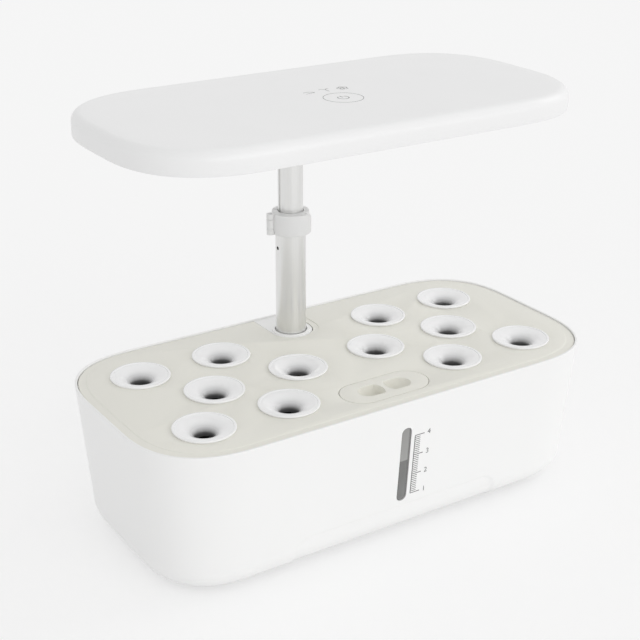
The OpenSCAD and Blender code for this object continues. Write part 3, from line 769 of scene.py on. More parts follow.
def tank_cutters():
    """The window's slot, the post's bore, the screw's chamber, the socket's hole and the feet's seats."""
    below = TANK_LOW.z - OVERLAP
    above = DECK_Z + 9 * MM
    behind = TANK_HIGH.y + OVERLAP
    cutters = [window_slot()]
    cutters.append(disc("bore", POST, TUBE_R + FIT, TUBE_LOW.z, above, shell_white, 96))
    cutters.append(disc("mouth", POST, MOUTH_R, DECK_Z - 3 * MM, above, shell_white, 96))
    cutters.append(disc("chamber", POST, CHAMBER_R, below, TUBE_LOW.z - 4 * MM, shell_white))
    cutters.append(disc("screw_hole", POST, SCREW_HOLE_R, below, TUBE_LOW.z + OVERLAP, shell_white, 24))
    cutters.append(socket_bar("socket_hole", INLET_R + FIT, POST.y, behind))
    flange_t, flange_out = 1.6 * MM, 2.3 * MM
    cutters.append(socket_bar("socket_seat", INLET_R + flange_out, INLET_HIGH.y - flange_t, behind))
    for x in (FOOT_LOW.x + FOOT_R, FOOT_HIGH.x - FOOT_R):
        for y in (FOOT_LOW.y + FOOT_R, FOOT_HIGH.y - FOOT_R):
            place = Vector((x, y, 0))
            cutters.append(disc("foot_seat", place, FOOT_R + SEAT_GAP, below, FOOT_HIGH.z, shell_white))
    return cutters


WALL_TILT = Matrix.Rotation(math.pi / 2 + DRAFT_ANGLE, 4, "X")


def on_wall(flat_points, depth, centre_z):
    """Puts (right, up) points of a drawing on the front wall, a depth out from it."""
    middle = Vector((0, TANK_LOW.y + wall_inset(centre_z), centre_z))
    return [middle + WALL_TILT @ Vector((x, y, depth)) for x, y in flat_points]


WINDOW_Z = (WINDOW_LOW.z + WINDOW_HIGH.z) / 2
WINDOW_W = 8.6 * MM
WINDOW_H = 65 * MM


def upright_stadium(height, width):
    return [(-y, x) for x, y in stadium(height, width)]


def window_slot():
    """What the wall loses to the window, right through it."""
    points = upright_stadium(WINDOW_H + 2 * SEAT_GAP, WINDOW_W + 2 * SEAT_GAP)
    rings = [on_wall(points, depth, WINDOW_Z) for depth in (-4 * WALL_T, 2 * WALL_T)]
    return loft("window_slot", rings, shell_white)


SOCKET_KINDS = {int: "NodeSocketInt", float: "NodeSocketFloat", tuple: "NodeSocketVector"}


def grown(name, inputs, fill, material):
    """A piece that repeats a form with Geometry Nodes, fed by named inputs and turned into plain mesh."""
    tree = bpy.data.node_groups.new(name, "GeometryNodeTree")
    tree.interface.new_socket("Geometry", in_out="OUTPUT", socket_type="NodeSocketGeometry")
    keys = {}
    for field, value in inputs.items():
        kind = SOCKET_KINDS[type(value)]
        keys[field] = tree.interface.new_socket(field, in_out="INPUT", socket_type=kind).identifier
    graph = Graph(tree)
    source = tree.nodes.new("NodeGroupInput")
    shape = fill(graph, {field: Value(graph, source.outputs[field]) for field in inputs})
    real = graph.node("GeometryNodeRealizeInstances", {"Geometry": shape})
    dressed = graph.node("GeometryNodeSetMaterial", {"Geometry": real, "Material": material})
    graph.node("NodeGroupOutput", {"Geometry": dressed})
    piece = bpy.data.objects.new(name, bpy.data.meshes.new(name))
    bpy.context.scene.collection.objects.link(piece)
    modifier = piece.modifiers.new("grow", "NODES")
    modifier.node_group = tree
    for field, value in inputs.items():
        modifier[keys[field]] = value
    return bake_modifiers(piece)


def scale_marks(graph, field):
    """A ladder of short marks, with every tenth one longer, turned onto the wall."""
    stride = graph.vector(y=field["Pitch"])
    line = graph.node("GeometryNodeMeshLine", {"Count": field["Marks"], "Offset": stride})
    size = graph.vector(field["Length"], field["Stroke"], field["Lift"])
    bar = graph.node("GeometryNodeMeshCube", {"Size": size})
    half = graph.vector(field["Length"] / 2)
    bar = graph.node("GeometryNodeTransform", {"Geometry": bar, "Translation": half})
    index = graph.node("GeometryNodeInputIndex")
    tenth = index.math("MODULO", index, 10.0)
    long_mark = tenth.math("LESS_THAN", tenth, 0.5)
    stretch = graph.vector(1 + 0.7 * long_mark, 1 + 0.2 * long_mark, 1.0)
    marks = graph.node("GeometryNodeInstanceOnPoints", {"Points": line, "Instance": bar, "Scale": stretch})
    placed = {"Geometry": marks, "Translation": field["Place"], "Rotation": field["Turn"]}
    return graph.node("GeometryNodeTransform", placed)


SCALE_X = 8.2 * MM
SCALE_TOP = 91 * MM
SCALE_PITCH = 1.745 * MM
SCALE_STEPS = 30
SCALE_NUMBERS = "4321"
NUMBER_X = SCALE_X + 11.6 * MM
NUMBER_SIZE = 6.2 * MM
NUMBER_DROP = 1.7 * MM
INK_LIFT = 0.04 * MM


def build_scale():
    """Pad-printed level scale beside the window: a fine line, thirty-one marks and plain numbers."""
    length = SCALE_PITCH * SCALE_STEPS
    middle_z = SCALE_TOP - length * math.cos(DRAFT_ANGLE) / 2
    foot = on_wall([(SCALE_X, -length / 2)], 0, middle_z)[0]
    inputs = {"Marks": SCALE_STEPS + 1, "Pitch": SCALE_PITCH}
    inputs |= {"Length": 5.2 * MM, "Stroke": 0.52 * MM, "Lift": 2 * INK_LIFT}
    inputs |= {"Place": tuple(foot), "Turn": tuple(WALL_TILT.to_euler())}
    pieces = [grown("level_marks", inputs, scale_marks, scale_ink)]
    half = 0.3 * MM
    left, right, top = SCALE_X - half, SCALE_X + half, length / 2
    stem = [(left, -top), (right, -top), (right, top), (left, top)]
    rings = [on_wall(stem, depth, middle_z) for depth in (-INK_LIFT, INK_LIFT)]
    pieces.append(loft("scale_line", rings, scale_ink))
    for count, figure in enumerate(SCALE_NUMBERS):
        up = top - count * 10 * SCALE_PITCH - NUMBER_DROP
        pieces.append(printed_number(figure, NUMBER_X, up, middle_z))
    return joined("level_scale", pieces, scale_ink)


def printed_number(figure, right, up, middle_z):
    """A plain figure, thickened a little and turned onto the wall."""
    curve = bpy.data.curves.new("figure", "FONT")
    curve.body = figure
    curve.size = NUMBER_SIZE
    curve.extrude = INK_LIFT
    holder = bpy.data.objects.new("figure", curve)
    bpy.context.scene.collection.objects.link(holder)
    mesh = plain_mesh(holder)
    bpy.data.objects.remove(holder)
    place = on_wall([(right, up)], 0, middle_z)[0]
    mesh.transform(Matrix.Translation(place) @ WALL_TILT)
    return mesh_object("figure", mesh, scale_ink)


def build_window():
    """The smoked lens: a flange behind the wall and a face with a soft round edge."""
    edge = 0.7 * MM
    face = -0.25 * MM
    flange, flange_t, seat = 3 * MM, 1.6 * MM, -3.2 * MM
    rings = []
    for grow, depth in ((flange, seat - flange_t), (flange, seat), (0, seat)):
        points = upright_stadium(WINDOW_H + 2 * grow, WINDOW_W + 2 * grow)
        rings.append(on_wall(points, depth, WINDOW_Z))
    for out, up in rounded_edge(edge, 6, 0, 90):
        inset = 2 * (edge - out)
        points = upright_stadium(WINDOW_H - inset, WINDOW_W - inset)
        rings.append(on_wall(points, face - edge + up, WINDOW_Z))
    return loft("window_lens", rings, smoked_clear)


# ---------------------------------------------------------------- deck


def deck_ring(inset, z):
    return plan_ring(DECK_LOW, DECK_HIGH, DECK_CORNER, inset, z, (28, 2, 2))


def notch_points(grow, back):
    """The post's notch: a half round in front, straight sides to the back edge."""
    radius = NOTCH_R + grow
    front = arc_points((POST.x, POST.y), radius, 180, 360, 32)
    return front + [(POST.x + radius, back), (POST.x - radius, back)]


def pod_centre(number):
    low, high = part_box(f"pod_cap_{number}")
    return Vector(((low.x + high.x) / 2, (low.y + high.y) / 2, DECK_Z))


FILL = Vector(((CAP_LOW.x + CAP_HIGH.x) / 2, (CAP_LOW.y + CAP_HIGH.y) / 2, DECK_Z))
FILL_L = CAP_HIGH.x - CAP_LOW.x
FILL_W = CAP_HIGH.y - CAP_LOW.y
RECESS_GAP = 0.6 * MM
PORT_L = FILL_L - 25 * MM
PORT_W = FILL_W - 13 * MM


DECK_FOOT = DECK_Z - DECK_T
SKIRT_IN = 4.6 * MM
SKIRT_T = 1.8 * MM
FLOW_R = 3.5 * MM


def deck_plate():
    """The plate with its fine shadow gap to the rim, the lowered border and the raised field."""
    gap, edge, nick = 0.3 * MM, 0.5 * MM, 0.2 * MM
    border_z = DECK_Z - FIELD_STEP
    rings = [deck_ring(gap + nick, DECK_FOOT), deck_ring(gap, DECK_FOOT + nick)]
    for out, up in rounded_edge(edge, 4, 0, 90):
        rings.append(deck_ring(gap + edge - out, border_z - edge + up))
    for before, drop in ((1.1, FIELD_STEP), (0.75, 0.5 * MM), (0.35, 0.1 * MM), (0, 0)):
        rings.append(deck_ring(BORDER_W - before * MM, DECK_Z - drop))
    return loft("grow_deck", rings, deck_greige)


def deck_skirt():
    """The low wall under the plate that keeps it in the tank's mouth."""
    outside = [deck_ring(SKIRT_IN, z) for z in (DECK_LOW.z, DECK_FOOT + OVERLAP / 2)]
    inside = [deck_ring(SKIRT_IN + SKIRT_T, z) for z in (DECK_LOW.z - OVERLAP, DECK_FOOT + 0.2 * MM)]
    skirt = loft("skirt", outside, deck_greige)
    return carve(skirt, [loft("skirt_cut", inside, deck_greige)])


def deck_cutters():
    """The pod seats, the cap's recess and port, the notch with its lowered edge, and the water's hole."""
    above = DECK_Z + OVERLAP
    centre = (FILL.x, FILL.y)
    behind = DECK_HIGH.y + 20 * MM
    cutters = []
    for number in PODS:
        foot = DECK_FOOT - 5 * MM
        cutters.append(disc("seat_cut", pod_centre(number), SEAT_R, foot, above, deck_greige, 64))
    recess = stadium(FILL_L + 2 * RECESS_GAP, FILL_W + 2 * RECESS_GAP, centre, 28)
    cutters.append(prism("recess_cut", recess, DECK_Z - 2.2 * MM, above, deck_greige))
    port = stadium(PORT_L, PORT_W, centre, 24)
    cutters.append(prism("port_cut", port, DECK_FOOT - OVERLAP, above, deck_greige))
    step = notch_points(5 * MM, behind)
    cutters.append(prism("notch_step", step, DECK_Z - FIELD_STEP, above, deck_greige))
    notch = notch_points(0, behind)
    cutters.append(prism("notch_cut", notch, DECK_LOW.z - OVERLAP, above, deck_greige))
    nozzle_low, nozzle_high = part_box("return_nozzle")
    nozzle = (nozzle_low + nozzle_high) / 2
    foot, head = DECK_FOOT - OVERLAP, DECK_Z - 1.8 * MM
    cutters.append(disc("flow_hole", nozzle, FLOW_R, foot, head, deck_greige, 32))
    return cutters


def build_deck():
    """The grow deck: plate, skirt and the rims of the pod seats in one, then all its openings."""
    plate = deck_plate()
    rims = [deck_skirt()]
    for number in PODS:
        foot, head = DECK_FOOT - 4 * MM, DECK_FOOT + OVERLAP
        rims.append(disc("seat_rim", pod_centre(number), SEAT_R + SKIRT_T, foot, head, deck_greige))
    fuse(plate, rims)
    carve(plate, deck_cutters())
    return soften(plate, 0.3 * MM, 2)


# ---------------------------------------------------------------- pods

POD_CAP_LOW, POD_CAP_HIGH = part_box("pod_cap_01")
CAP_R = (POD_CAP_HIGH.x - POD_CAP_LOW.x) / 2
CAP_RISE = POD_CAP_HIGH.z - DECK_Z
CAP_LIP = 0.75 * MM
CAP_WALL = 1.5 * MM
NECK_R = 16 * MM
NECK_H = 7 * MM
THROAT_R = 7.3 * MM
THROAT_FALL = 8.5 * MM
THROAT_FOOT = CAP_RISE - 12 * MM
HORN_CURVE = 2 / 1.6


def horn_curve(share):
    """How far in and how far down the trumpet has come, both 0 at the lip and 1 at the throat."""
    turn = math.pi / 2 * share
    return math.sin(turn) ** HORN_CURVE, 1 - max(math.cos(turn), 0) ** HORN_CURVE


def trumpet_profile():
    """A flat lip with a round edge, a small step behind it, then a full curve that falls to the throat."""
    seated = 0.03 * MM
    step_down = 0.4 * MM
    nick = 0.2 * MM
    profile = [(19.4 * MM, seated), (CAP_R - 0.5 * MM, seated)]
    for out, up in rounded_edge(CAP_LIP, 8, -35, 90):
        profile.append((CAP_R - CAP_LIP + out, CAP_RISE - CAP_LIP + up))
    start = CAP_R - CAP_LIP - 1.5 * MM
    profile += [(start + 0.35 * MM, CAP_RISE), (start + 0.1 * MM, CAP_RISE - 0.12 * MM)]
    profile.append((start, CAP_RISE - step_down))
    steps = 30
    for step in range(1, steps + 1):
        out, down = horn_curve(step / steps)
        radius = start - (start - THROAT_R) * out
        profile.append((radius, CAP_RISE - step_down - (THROAT_FALL - step_down) * down))
    profile += [(THROAT_R, THROAT_FOOT + nick), (THROAT_R + nick, THROAT_FOOT)]
    profile.append((THROAT_R + CAP_WALL, THROAT_FOOT))
    steps = 12
    for step in range(steps, 5, -1):
        out, down = horn_curve(step / steps)
        radius = start - (start - THROAT_R - CAP_WALL) * out - 0.1 * MM
        profile.append((radius, CAP_RISE - CAP_WALL - 0.3 * MM - THROAT_FALL * down))
    neck_out = NECK_R + CAP_WALL
    profile += [(NECK_R, -2.4 * MM), (NECK_R, -NECK_H), (neck_out, -NECK_H), (neck_out, seated)]
    return profile


def build_pods():
    profile = trumpet_profile()
    for number in PODS:
        piece = revolve(f"trumpet_{number}", profile, pod_centre(number), pod_white, 96)
        finish_piece(piece, f"pod_{number}", "pod_white", f"pod_cap_{number}")


# ---------------------------------------------------------------- fill cap


LID_T = 2 * MM
CUP_GAP = 0.6 * MM
CUP_WALL = 1.5 * MM
CUP_L = PORT_L - 2 * CUP_GAP
CUP_W = PORT_W - 2 * CUP_GAP
WELL_L = CUP_L - 2 * CUP_WALL
WELL_W = CUP_W - 2 * CUP_WALL
WELL_DEPTH = 9 * MM
GRIP_WAIST = 1.7 * MM
SCOOP_R = 13 * MM
GRIP_BOWL = ((0.4, 0), (0.6, 0.4), (0.76, 1.5), (0.88, 3.8), (0.96, 6.6), (0.99, 8.6), (1, 10))


def grip_well(side):
    """Half of the cap's bowl: round at its outer end, scooped round towards the grip."""
    end = FILL.x + side * (WELL_L - WELL_W) / 2
    well = []
    for x, y in arc_points((end, FILL.y), WELL_W / 2, -90, 90, 20):
        well.append((end + side * (x - end), y))
    mouth = math.asin(WELL_W / 2 / SCOOP_R)
    hub = FILL.x + side * (SCOOP_R + GRIP_WAIST)
    steps = 12
    for step in range(steps + 1):
        turn = mouth - 2 * mouth * step / steps
        well.append((hub - side * SCOOP_R * math.cos(turn), FILL.y + SCOOP_R * math.sin(turn)))
    if side < 0:
        well.reverse()
    middle = Vector((FILL.x + side * (GRIP_WAIST + 0.6 * MM), FILL.y, 0))
    rings = []
    for share, rise in GRIP_BOWL:
        up = Vector((0, 0, DECK_Z - WELL_DEPTH + rise * MM))
        rings.append([middle + (Vector((x, y, 0)) - middle) * share + up for x, y in well])
    return loft("grip_cut", rings, cap_greige)


def build_fill_cap():
    """A flush oval plate with two bowls, bridged by a waisted bar to pinch."""
    low = DECK_Z - LID_T
    centre = (FILL.x, FILL.y)
    plate = prism("fill_lid", stadium(FILL_L, FILL_W, centre, 32), low, DECK_Z, cap_greige)
    cup_low = DECK_Z - WELL_DEPTH - 1.6 * MM
    cup = prism("cup", stadium(CUP_L, CUP_W, centre, 24), cup_low, low + OVERLAP / 2, cap_greige)
    fuse(plate, [cup])
    for side in (-1, 1):
        carve(plate, [grip_well(side)])
    return soften(plate, 0.45 * MM, 3)


# ---------------------------------------------------------------- post and clamp


COLLAR_R = COLLAR_HIGH.y - POST.y
COLLAR_MID_Z = (COLLAR_LOW.z + COLLAR_HIGH.z) / 2
COLLAR_HALF = (COLLAR_HIGH.z - COLLAR_LOW.z) / 2
PIN = Vector(((PIN_LOW.x + PIN_HIGH.x) / 2, POST.y, 0))
PIN_R = (PIN_HIGH.x - PIN_LOW.x) / 2
KNUCKLE_R = PIN.x - COLLAR_LOW.x
KNUCKLE_HALF = 4 * MM
LIP_GAP = 0.3 * MM


def build_lower_tube():
    """Round tube with a chamfered mouth and its peg hole on the left."""
    inner = TUBE_R - TUBE_WALL
    chamfer = 0.25 * MM
    low, high = TUBE_LOW.z, TUBE_HIGH.z
    profile = [(inner, low), (TUBE_R, low), (TUBE_R, high - chamfer), (TUBE_R - chamfer, high)]
    profile += [(inner + chamfer, high), (inner, high - chamfer)]
    tube = revolve("post_tube", profile, POST, satin_aluminium, 128)
    peg_r = 1.5 * MM
    peg_z = COLLAR_LOW.z - 13.4 * MM
    flat = circle_points((POST.y, peg_z), peg_r, 24)
    rings = [[Vector((POST.x - TUBE_R * reach, y, z)) for y, z in flat] for reach in (2, 0.4)]
    return carve(tube, [loft("peg_cut", rings, satin_aluminium)])


def build_upper_tube():
    """Drawn tube with a rounded keyway along its left side."""
    key_half, key_depth, key_round = 1.3 * MM, 1 * MM, 0.35 * MM
    chamfer = 0.25 * MM
    mouth = math.degrees(math.asin(key_half / MAST_R))
    outer = arc_points((0, 0), MAST_R, -180 + mouth, 180 - mouth, 96)
    bed = -(MAST_R - key_depth)
    groove = arc_points((bed - key_round, key_half - key_round), key_round, 90, 0, 3)
    groove += arc_points((bed - key_round, -key_half + key_round), key_round, 0, -90, 3)
    rings = []
    for inset, z in ((chamfer, MAST_LOW.z), (0, MAST_LOW.z + chamfer), (0, MAST_HIGH.z)):
        share = 1 - inset / MAST_R
        rings.append([POST + Vector((x * share, y * share, z)) for x, y in outer + groove])
    return loft("mast_tube", rings, satin_aluminium, 30)


def collar_profile():
    """The ring's section: rounded outside, wide over the lower tube and narrow over the upper one."""
    low, high = COLLAR_LOW.z, COLLAR_HIGH.z
    edge, chamfer = 0.6 * MM, 0.4 * MM
    wide = TUBE_R + 0.05 * MM
    narrow = MAST_R + 0.35 * MM
    step_z = TUBE_HIGH.z + 1.25 * MM
    profile = [(wide, low)]
    profile += [(COLLAR_R - edge + out, low + edge + up) for out, up in rounded_edge(edge, 4, -90, 0)]
    profile += [(COLLAR_R - edge + out, high - edge + up) for out, up in rounded_edge(edge, 4, 0, 90)]
    return profile + [(narrow + chamfer, high), (narrow, high - chamfer), (narrow, step_z), (wide, step_z)]


def clamp_cut(name, points):
    """A cut through the clamp's whole height."""
    return prism(name, points, COLLAR_LOW.z - OVERLAP, COLLAR_HIGH.z + OVERLAP, clamp_white)


def build_collar():
    """The clamp ring: soft edges, a slit behind, and two lips that hold the lever's pin."""
    ring = revolve("clamp_ring", collar_profile(), POST, clamp_white)
    low, high = COLLAR_LOW.z, COLLAR_HIGH.z
    lip_h = COLLAR_HALF - KNUCKLE_HALF - LIP_GAP
    reach = POST.x - TUBE_R - 1.2 * MM
    ear = arc_points((PIN.x, PIN.y), KNUCKLE_R, 90, 270, 20)
    ear += [(reach, PIN.y - KNUCKLE_R), (reach, PIN.y + KNUCKLE_R)]
    for foot in (low, high - lip_h):
        fuse(ring, [prism("lip", ear, foot, foot + lip_h, clamp_white)])
    half = 1.2 * MM
    turn = Matrix.Rotation(math.radians(140), 2)
    slit = [(0, -half), (2 * TUBE_R, -half), (2 * TUBE_R, half), (0, half)]
    slit = [tuple(turn @ Vector(point) + POST.xy) for point in slit]
    carve(ring, [clamp_cut("eye", circle_points((PIN.x, PIN.y), PIN_R + FIT, 24)), clamp_cut("slit", slit)])
    return soften(ring, 0.35 * MM, 2)


BAND_GAP = 0.5 * MM
BAND_T = 2.8 * MM
BAND_SWEEP = 108
BAND_STEPS = 44
TIP_L = 4 * MM
TIP_STEPS = 14
TIP_CORNER = 3 * MM


def band_stations():
    """(inner point, outward direction, half height) along the lever, from its pin round to its tip."""
    stations = []
    for step in range(BAND_STEPS + 1):
        turn = math.radians(-180 + BAND_SWEEP * step / BAND_STEPS)
        out = Vector((math.cos(turn), math.sin(turn), 0))
        place = POST + out * (COLLAR_R + BAND_GAP)
        neck = smooth(4.6 * MM, 5.4 * MM, (place - PIN).length)
        stations.append((place, out, KNUCKLE_HALF + (COLLAR_HALF - KNUCKLE_HALF) * neck))
    last, out = stations[-1][:2]
    along = Vector((-out.y, out.x, 0))
    for step in range(1, TIP_STEPS + 1):
        reach = TIP_L * (1 - (1 - step / TIP_STEPS) ** 2)
        bend = min(TIP_L - reach, TIP_CORNER)
        drop = TIP_CORNER - math.sqrt(max(TIP_CORNER**2 - (TIP_CORNER - bend) ** 2, 0))
        stations.append((last + along * reach, out, COLLAR_HALF - drop))
    return stations


def build_lever():
    """The cam lever: a band with round edges that wraps the ring, and a knuckle on the pin."""
    soft = 0.7 * MM
    rings = []
    for place, out, tall in band_stations():
        near, far, high = soft, BAND_T - soft, tall - soft
        ring = []
        for number, corner in enumerate([(far, high), (near, high), (near, -high), (far, -high)]):
            for x, z in arc_points(corner, soft, 90 * number, 90 * number + 90, 4):
                ring.append(place + out * x + Vector((0, 0, COLLAR_MID_Z + z)))
        rings.append(ring)
    band = loft("cam_lever", rings, clamp_white)
    round_pin = circle_points((PIN.x, PIN.y), KNUCKLE_R, 24)
    low, high = COLLAR_MID_Z - KNUCKLE_HALF, COLLAR_MID_Z + KNUCKLE_HALF
    fuse(band, [prism("knuckle", round_pin, low, high, clamp_white)])
    return carve(band, [clamp_cut("eye", circle_points((PIN.x, PIN.y), PIN_R + FIT, 24))])


# ---------------------------------------------------------------- lamp


def lamp_ring(inset, z):
    return plan_ring(LAMP_LOW, LAMP_HIGH, LAMP_CORNER, inset, z, (36, 8, 4))


CROWN_REACH = 50 * MM
TOUCH_LIFT = 0.08 * MM
TOUCH = Vector((0, LAMP_Y - 18.6 * MM, LAMP_HIGH.z - TOUCH_LIFT))


def stroke(points, width, closed=False):
    """A printed line through (right, back) points round the touch mark's middle."""
    count = len(points)
    rings = []
    for index, (x, y) in enumerate(points):
        before = points[index - 1] if index or closed else points[index]
        after = points[(index + 1) % count] if index + 1 < count or closed else points[index]
        along = Vector((after[0] - before[0], after[1] - before[1])).normalized()
        side = Vector((-along.y, along.x)) * width / 2
        left, right = Vector((x, y)) - side, Vector((x, y)) + side
        corners = []
        for flat, lift in ((left, -0.6), (left, 0.8), (right, 0.8), (right, -0.6)):
            corners.append(TOUCH + Vector((flat.x, flat.y, lift * TOUCH_LIFT)))
        rings.append(corners)
    if closed:
        rings.append(rings[0])
    bm = bmesh.new()
    skin(bm, rings, (not closed, not closed))
    weld(bm)
    return from_bmesh("line", bm, touch_ink)


def build_touch_marks():
    """Printed marks over the touch sensors: a ring with a power sign, and a leaf, a sprout and a bloom."""
    fine = 0.45 * MM
    bold = 0.7 * MM
    lines = [stroke(circle_points((0, 0), 15 * MM, 72), fine, True)]
    lines.append(stroke(arc_points((0, 0), 4.2 * MM, 125, 415, 32), bold))
    lines.append(stroke([(0, 0.6 * MM), (0, 5.4 * MM)], bold))
    for sign, x, back in ((leaf_sign, -12.5, 26.2), (sprout_sign, 2.3, 26.8), (bloom_sign, 16.5, 25.8)):
        lines += sign(x * MM, back * MM, fine)
    return joined("touch_marks", lines, touch_ink)


def leaf_sign(x, back, width):
    leaf = arc_points((x - 2 * MM, back - 4.6 * MM), 6.4 * MM, 118, 30, 10)
    rib = [(x - 5 * MM, back - 3 * MM), (x + 3.5 * MM, back - 1.4 * MM)]
    return [stroke(leaf, width), stroke(rib, width)]


def sprout_sign(x, back, width):
    reach = 4 * MM
    stem = stroke([(x, back - 4.5 * MM), (x, back)], width)
    left = stroke(arc_points((x - reach, back - 0.4 * MM), reach, 0, 95, 8), width)
    right = stroke(arc_points((x + reach, back - 0.4 * MM), reach, 180, 85, 8), width)
    return [stem, left, right]


def bloom_sign(x, back, width):
    petals, spread = 5, 2.8 * MM
    lines = []
    for number in range(petals):
        angle = math.pi / 2 + 2 * math.pi * number / petals
        hub = (x + spread * math.cos(angle), back + spread * math.sin(angle))
        lines.append(stroke(circle_points(hub, 1.7 * MM, 12), width, True))
    return lines


def build_lamp_cover():
    """The lamp's lid: a soft top edge, a faint crown and a thin open skirt."""
    top = LAMP_HIGH.z - LAMP_CROWN
    low = LAMP_LOW.z
    foot = 0.5 * MM
    rings = []
    for out, up in rounded_edge(foot, 3, -90, 0):
        rings.append(lamp_ring(foot - out, low + foot + up))
    for out, up in rounded_edge(LAMP_EDGE, 14, 0, 84):
        rings.append(lamp_ring(LAMP_EDGE - out, top - LAMP_EDGE + up))
    crown = LAMP_CROWN - TOUCH_LIFT
    for share in (0.12, 0.3, 0.5, 0.72, 1):
        rise = crown * math.sin(share * math.pi / 2)
        rings.append(lamp_ring(LAMP_EDGE + share * CROWN_REACH, top + rise))
    lining = [lamp_ring(LAMP_EDGE + CROWN_REACH, top), lamp_ring(LAMP_EDGE, top - COVER_WALL)]
    lining += [lamp_ring(COVER_WALL, top - LAMP_EDGE), lamp_ring(COVER_WALL, low), lamp_ring(foot, low)]
    bm = bmesh.new()
    skin(bm, rings, (False, True))
    skin(bm, lining, (True, False))
    weld(bm)
    return from_bmesh("lamp_lid", bm, lamp_white)


CHIPS_LOW, CHIPS_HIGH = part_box("led_chips")


def chip_field(graph, field):
    """A field of lamp chips: a square case with a round bead that faces down."""
    span = {"Size X": field["Span X"], "Size Y": field["Span Y"]}
    span |= {"Vertices X": field["Columns"], "Vertices Y": field["Rows"]}
    grid = graph.node("GeometryNodeMeshGrid", span)
    size = graph.vector(field["Side"], field["Side"], field["Height"] * 0.6)
    case = graph.node("GeometryNodeMeshCube", {"Size": size})
    lift = graph.vector(z=field["Height"] * 0.2)
    case = graph.node("GeometryNodeTransform", {"Geometry": case, "Translation": lift})
    bead_sockets = {"Vertices": 20, "Radius": field["Side"] * 0.38, "Depth": field["Height"]}
    bead = graph.node("GeometryNodeMeshCylinder", bead_sockets)
    join = graph.tree.nodes.new("GeometryNodeJoinGeometry")
    for part in (case, bead):
        graph.tree.links.new(part.socket, join.inputs[0])
    chip = Value(graph, join.outputs[0])
    chips = graph.node("GeometryNodeInstanceOnPoints", {"Points": grid, "Instance": chip})
    return graph.node("GeometryNodeTransform", {"Geometry": chips, "Translation": field["Place"]})


def build_chips():
    side = 3 * MM
    size = CHIPS_HIGH - CHIPS_LOW
    inputs = {"Columns": 12, "Rows": 4, "Span X": size.x - side, "Span Y": size.y - side}
    inputs |= {"Side": side, "Height": size.z, "Place": tuple((CHIPS_LOW + CHIPS_HIGH) / 2)}
    return grown("led_field", inputs, chip_field, led_yellow)


# ---------------------------------------------------------------- stage, light and camera


FLOOR_REACH = 6
FLOOR_GLOW = 0.52
SKY_LIGHT = 0.76


def build_stage():
    """A pale floor far wider than the garden."""
    bm = bmesh.new()
    side = FLOOR_REACH
    corners = [(-side, -side), (side, -side), (side, side), (-side, side)]
    bm.faces.new([bm.verts.new((x, y, 0)) for x, y in corners])
    floor = from_bmesh("floor", bm, floor_paint())


def seen_rays(graph):
    """1 for what the camera sees, straight, in gloss or through glass."""
    names = ("Is Camera Ray", "Is Glossy Ray", "Is Transmission Ray")
    camera, glossy, through = [graph.node("ShaderNodeLightPath", out=name) for name in names]
    rays = camera + glossy + through
    return rays.math("MINIMUM", rays, 1.0)


def floor_paint():
    """Matt paint that glows a little for the camera alone, so that it reads as a studio's bright floor."""
    material = bpy.data.materials.new("floor_paint")
    material.use_nodes = True
    graph = Graph(material.node_tree)
    graph.tree.nodes.clear()
    paint = graph.node("ShaderNodeBsdfDiffuse", {"Color": (0.98, 0.98, 0.98, 1)})
    glow = graph.node("ShaderNodeEmission", {"Color": (1, 1, 1, 1), "Strength": 1.0})
    mix = graph.node("ShaderNodeMixShader", {0: seen_rays(graph) * FLOOR_GLOW, 1: paint, 2: glow})
    graph.node("ShaderNodeOutputMaterial", {"Surface": mix})
    return material


def build_world():
    """Even light from all sides, with a brighter backdrop for the camera."""
    world = bpy.data.worlds.new("studio")
    bpy.context.scene.world = world
    world.use_nodes = True
    graph = Graph(world.node_tree)
    graph.tree.nodes.clear()
    strength = SKY_LIGHT + (1 - SKY_LIGHT) * seen_rays(graph)
    sky = graph.node("ShaderNodeBackground", {"Color": (0.97, 0.97, 0.97, 1), "Strength": strength})
    graph.node("ShaderNodeOutputWorld", {"Surface": sky})


def sun(name, direction, strength, angle):
    """A soft light from a direction, wide enough for a soft shadow."""
    light = bpy.data.lights.new(name, "SUN")
    light.energy = strength
    light.angle = math.radians(angle)
    lamp = bpy.data.objects.new(name, light)
    lamp.rotation_euler = Vector(direction).to_track_quat("Z", "Y").to_euler()
    bpy.context.scene.collection.objects.link(lamp)


# The view that fits the garden's outlines: angles in radians, focus and picture in pixels.
VIEW_PLACE = Vector((-0.5415, -0.8078, 0.5638))
VIEW_YAW = 0.5801
VIEW_PITCH = 0.4008
VIEW_ROLL = 0.0041
VIEW_FOCUS = 1327.6
PICTURE = 640


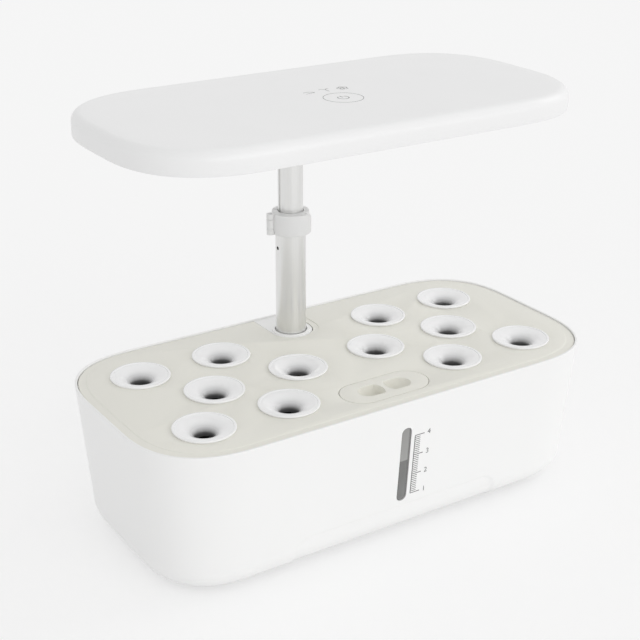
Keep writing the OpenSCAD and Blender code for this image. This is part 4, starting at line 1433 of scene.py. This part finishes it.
def build_camera():
    """The photograph's viewpoint: yaw is to the right of +Y, pitch looks down."""
    ahead = Vector((
        math.sin(VIEW_YAW) * math.cos(VIEW_PITCH),
        math.cos(VIEW_YAW) * math.cos(VIEW_PITCH),
        -math.sin(VIEW_PITCH),
    ))
    right = Vector((math.cos(VIEW_YAW), -math.sin(VIEW_YAW), 0))
    up = right.cross(ahead)
    turned_right = math.cos(VIEW_ROLL) * right + math.sin(VIEW_ROLL) * up
    turned_up = -math.sin(VIEW_ROLL) * right + math.cos(VIEW_ROLL) * up
    data = bpy.data.cameras.new("view")
    data.sensor_width = 36
    data.lens = VIEW_FOCUS / PICTURE * data.sensor_width
    camera = bpy.data.objects.new("view", data)
    camera.matrix_world = Matrix.Translation(VIEW_PLACE) @ Matrix((
        (turned_right.x, turned_up.x, -ahead.x),
        (turned_right.y, turned_up.y, -ahead.y),
        (turned_right.z, turned_up.z, -ahead.z),
    )).to_4x4()
    bpy.context.scene.collection.objects.link(camera)
    bpy.context.scene.camera = camera


build_camera()
dress_frame()
finish_piece(build_tank(), "base", "shell_white", "tank")
finish_piece(build_window(), "base", "smoked_clear", "level_window")
finish_piece(build_scale(), "base", "shell_white")
finish_piece(build_deck(), "deck", "deck_greige", "deck")
build_pods()
finish_piece(build_fill_cap(), "fill_cap", "cap_greige", "fill_cap")
finish_piece(build_lower_tube(), "base", "satin_aluminium", "lower_tube")
finish_piece(build_upper_tube(), "lamp", "satin_aluminium", "upper_tube")
finish_piece(build_collar(), "base", "clamp_white", "clamp_collar")
finish_piece(build_lever(), "clamp_lever", "clamp_white", "clamp_lever")
finish_piece(build_lamp_cover(), "lamp", "lamp_white", "lamp_cover")
finish_piece(build_touch_marks(), "lamp", "lamp_white")
finish_piece(build_chips(), "lamp", "led_yellow", "led_chips")
build_stage()
build_world()
sun("front_light", (0.16, -0.95, 0.18), 0.84, 60)
sun("side_light", (0.85, -0.1, 0.5), 0.3, 30)

bpy.context.scene.view_settings.view_transform = "Standard"
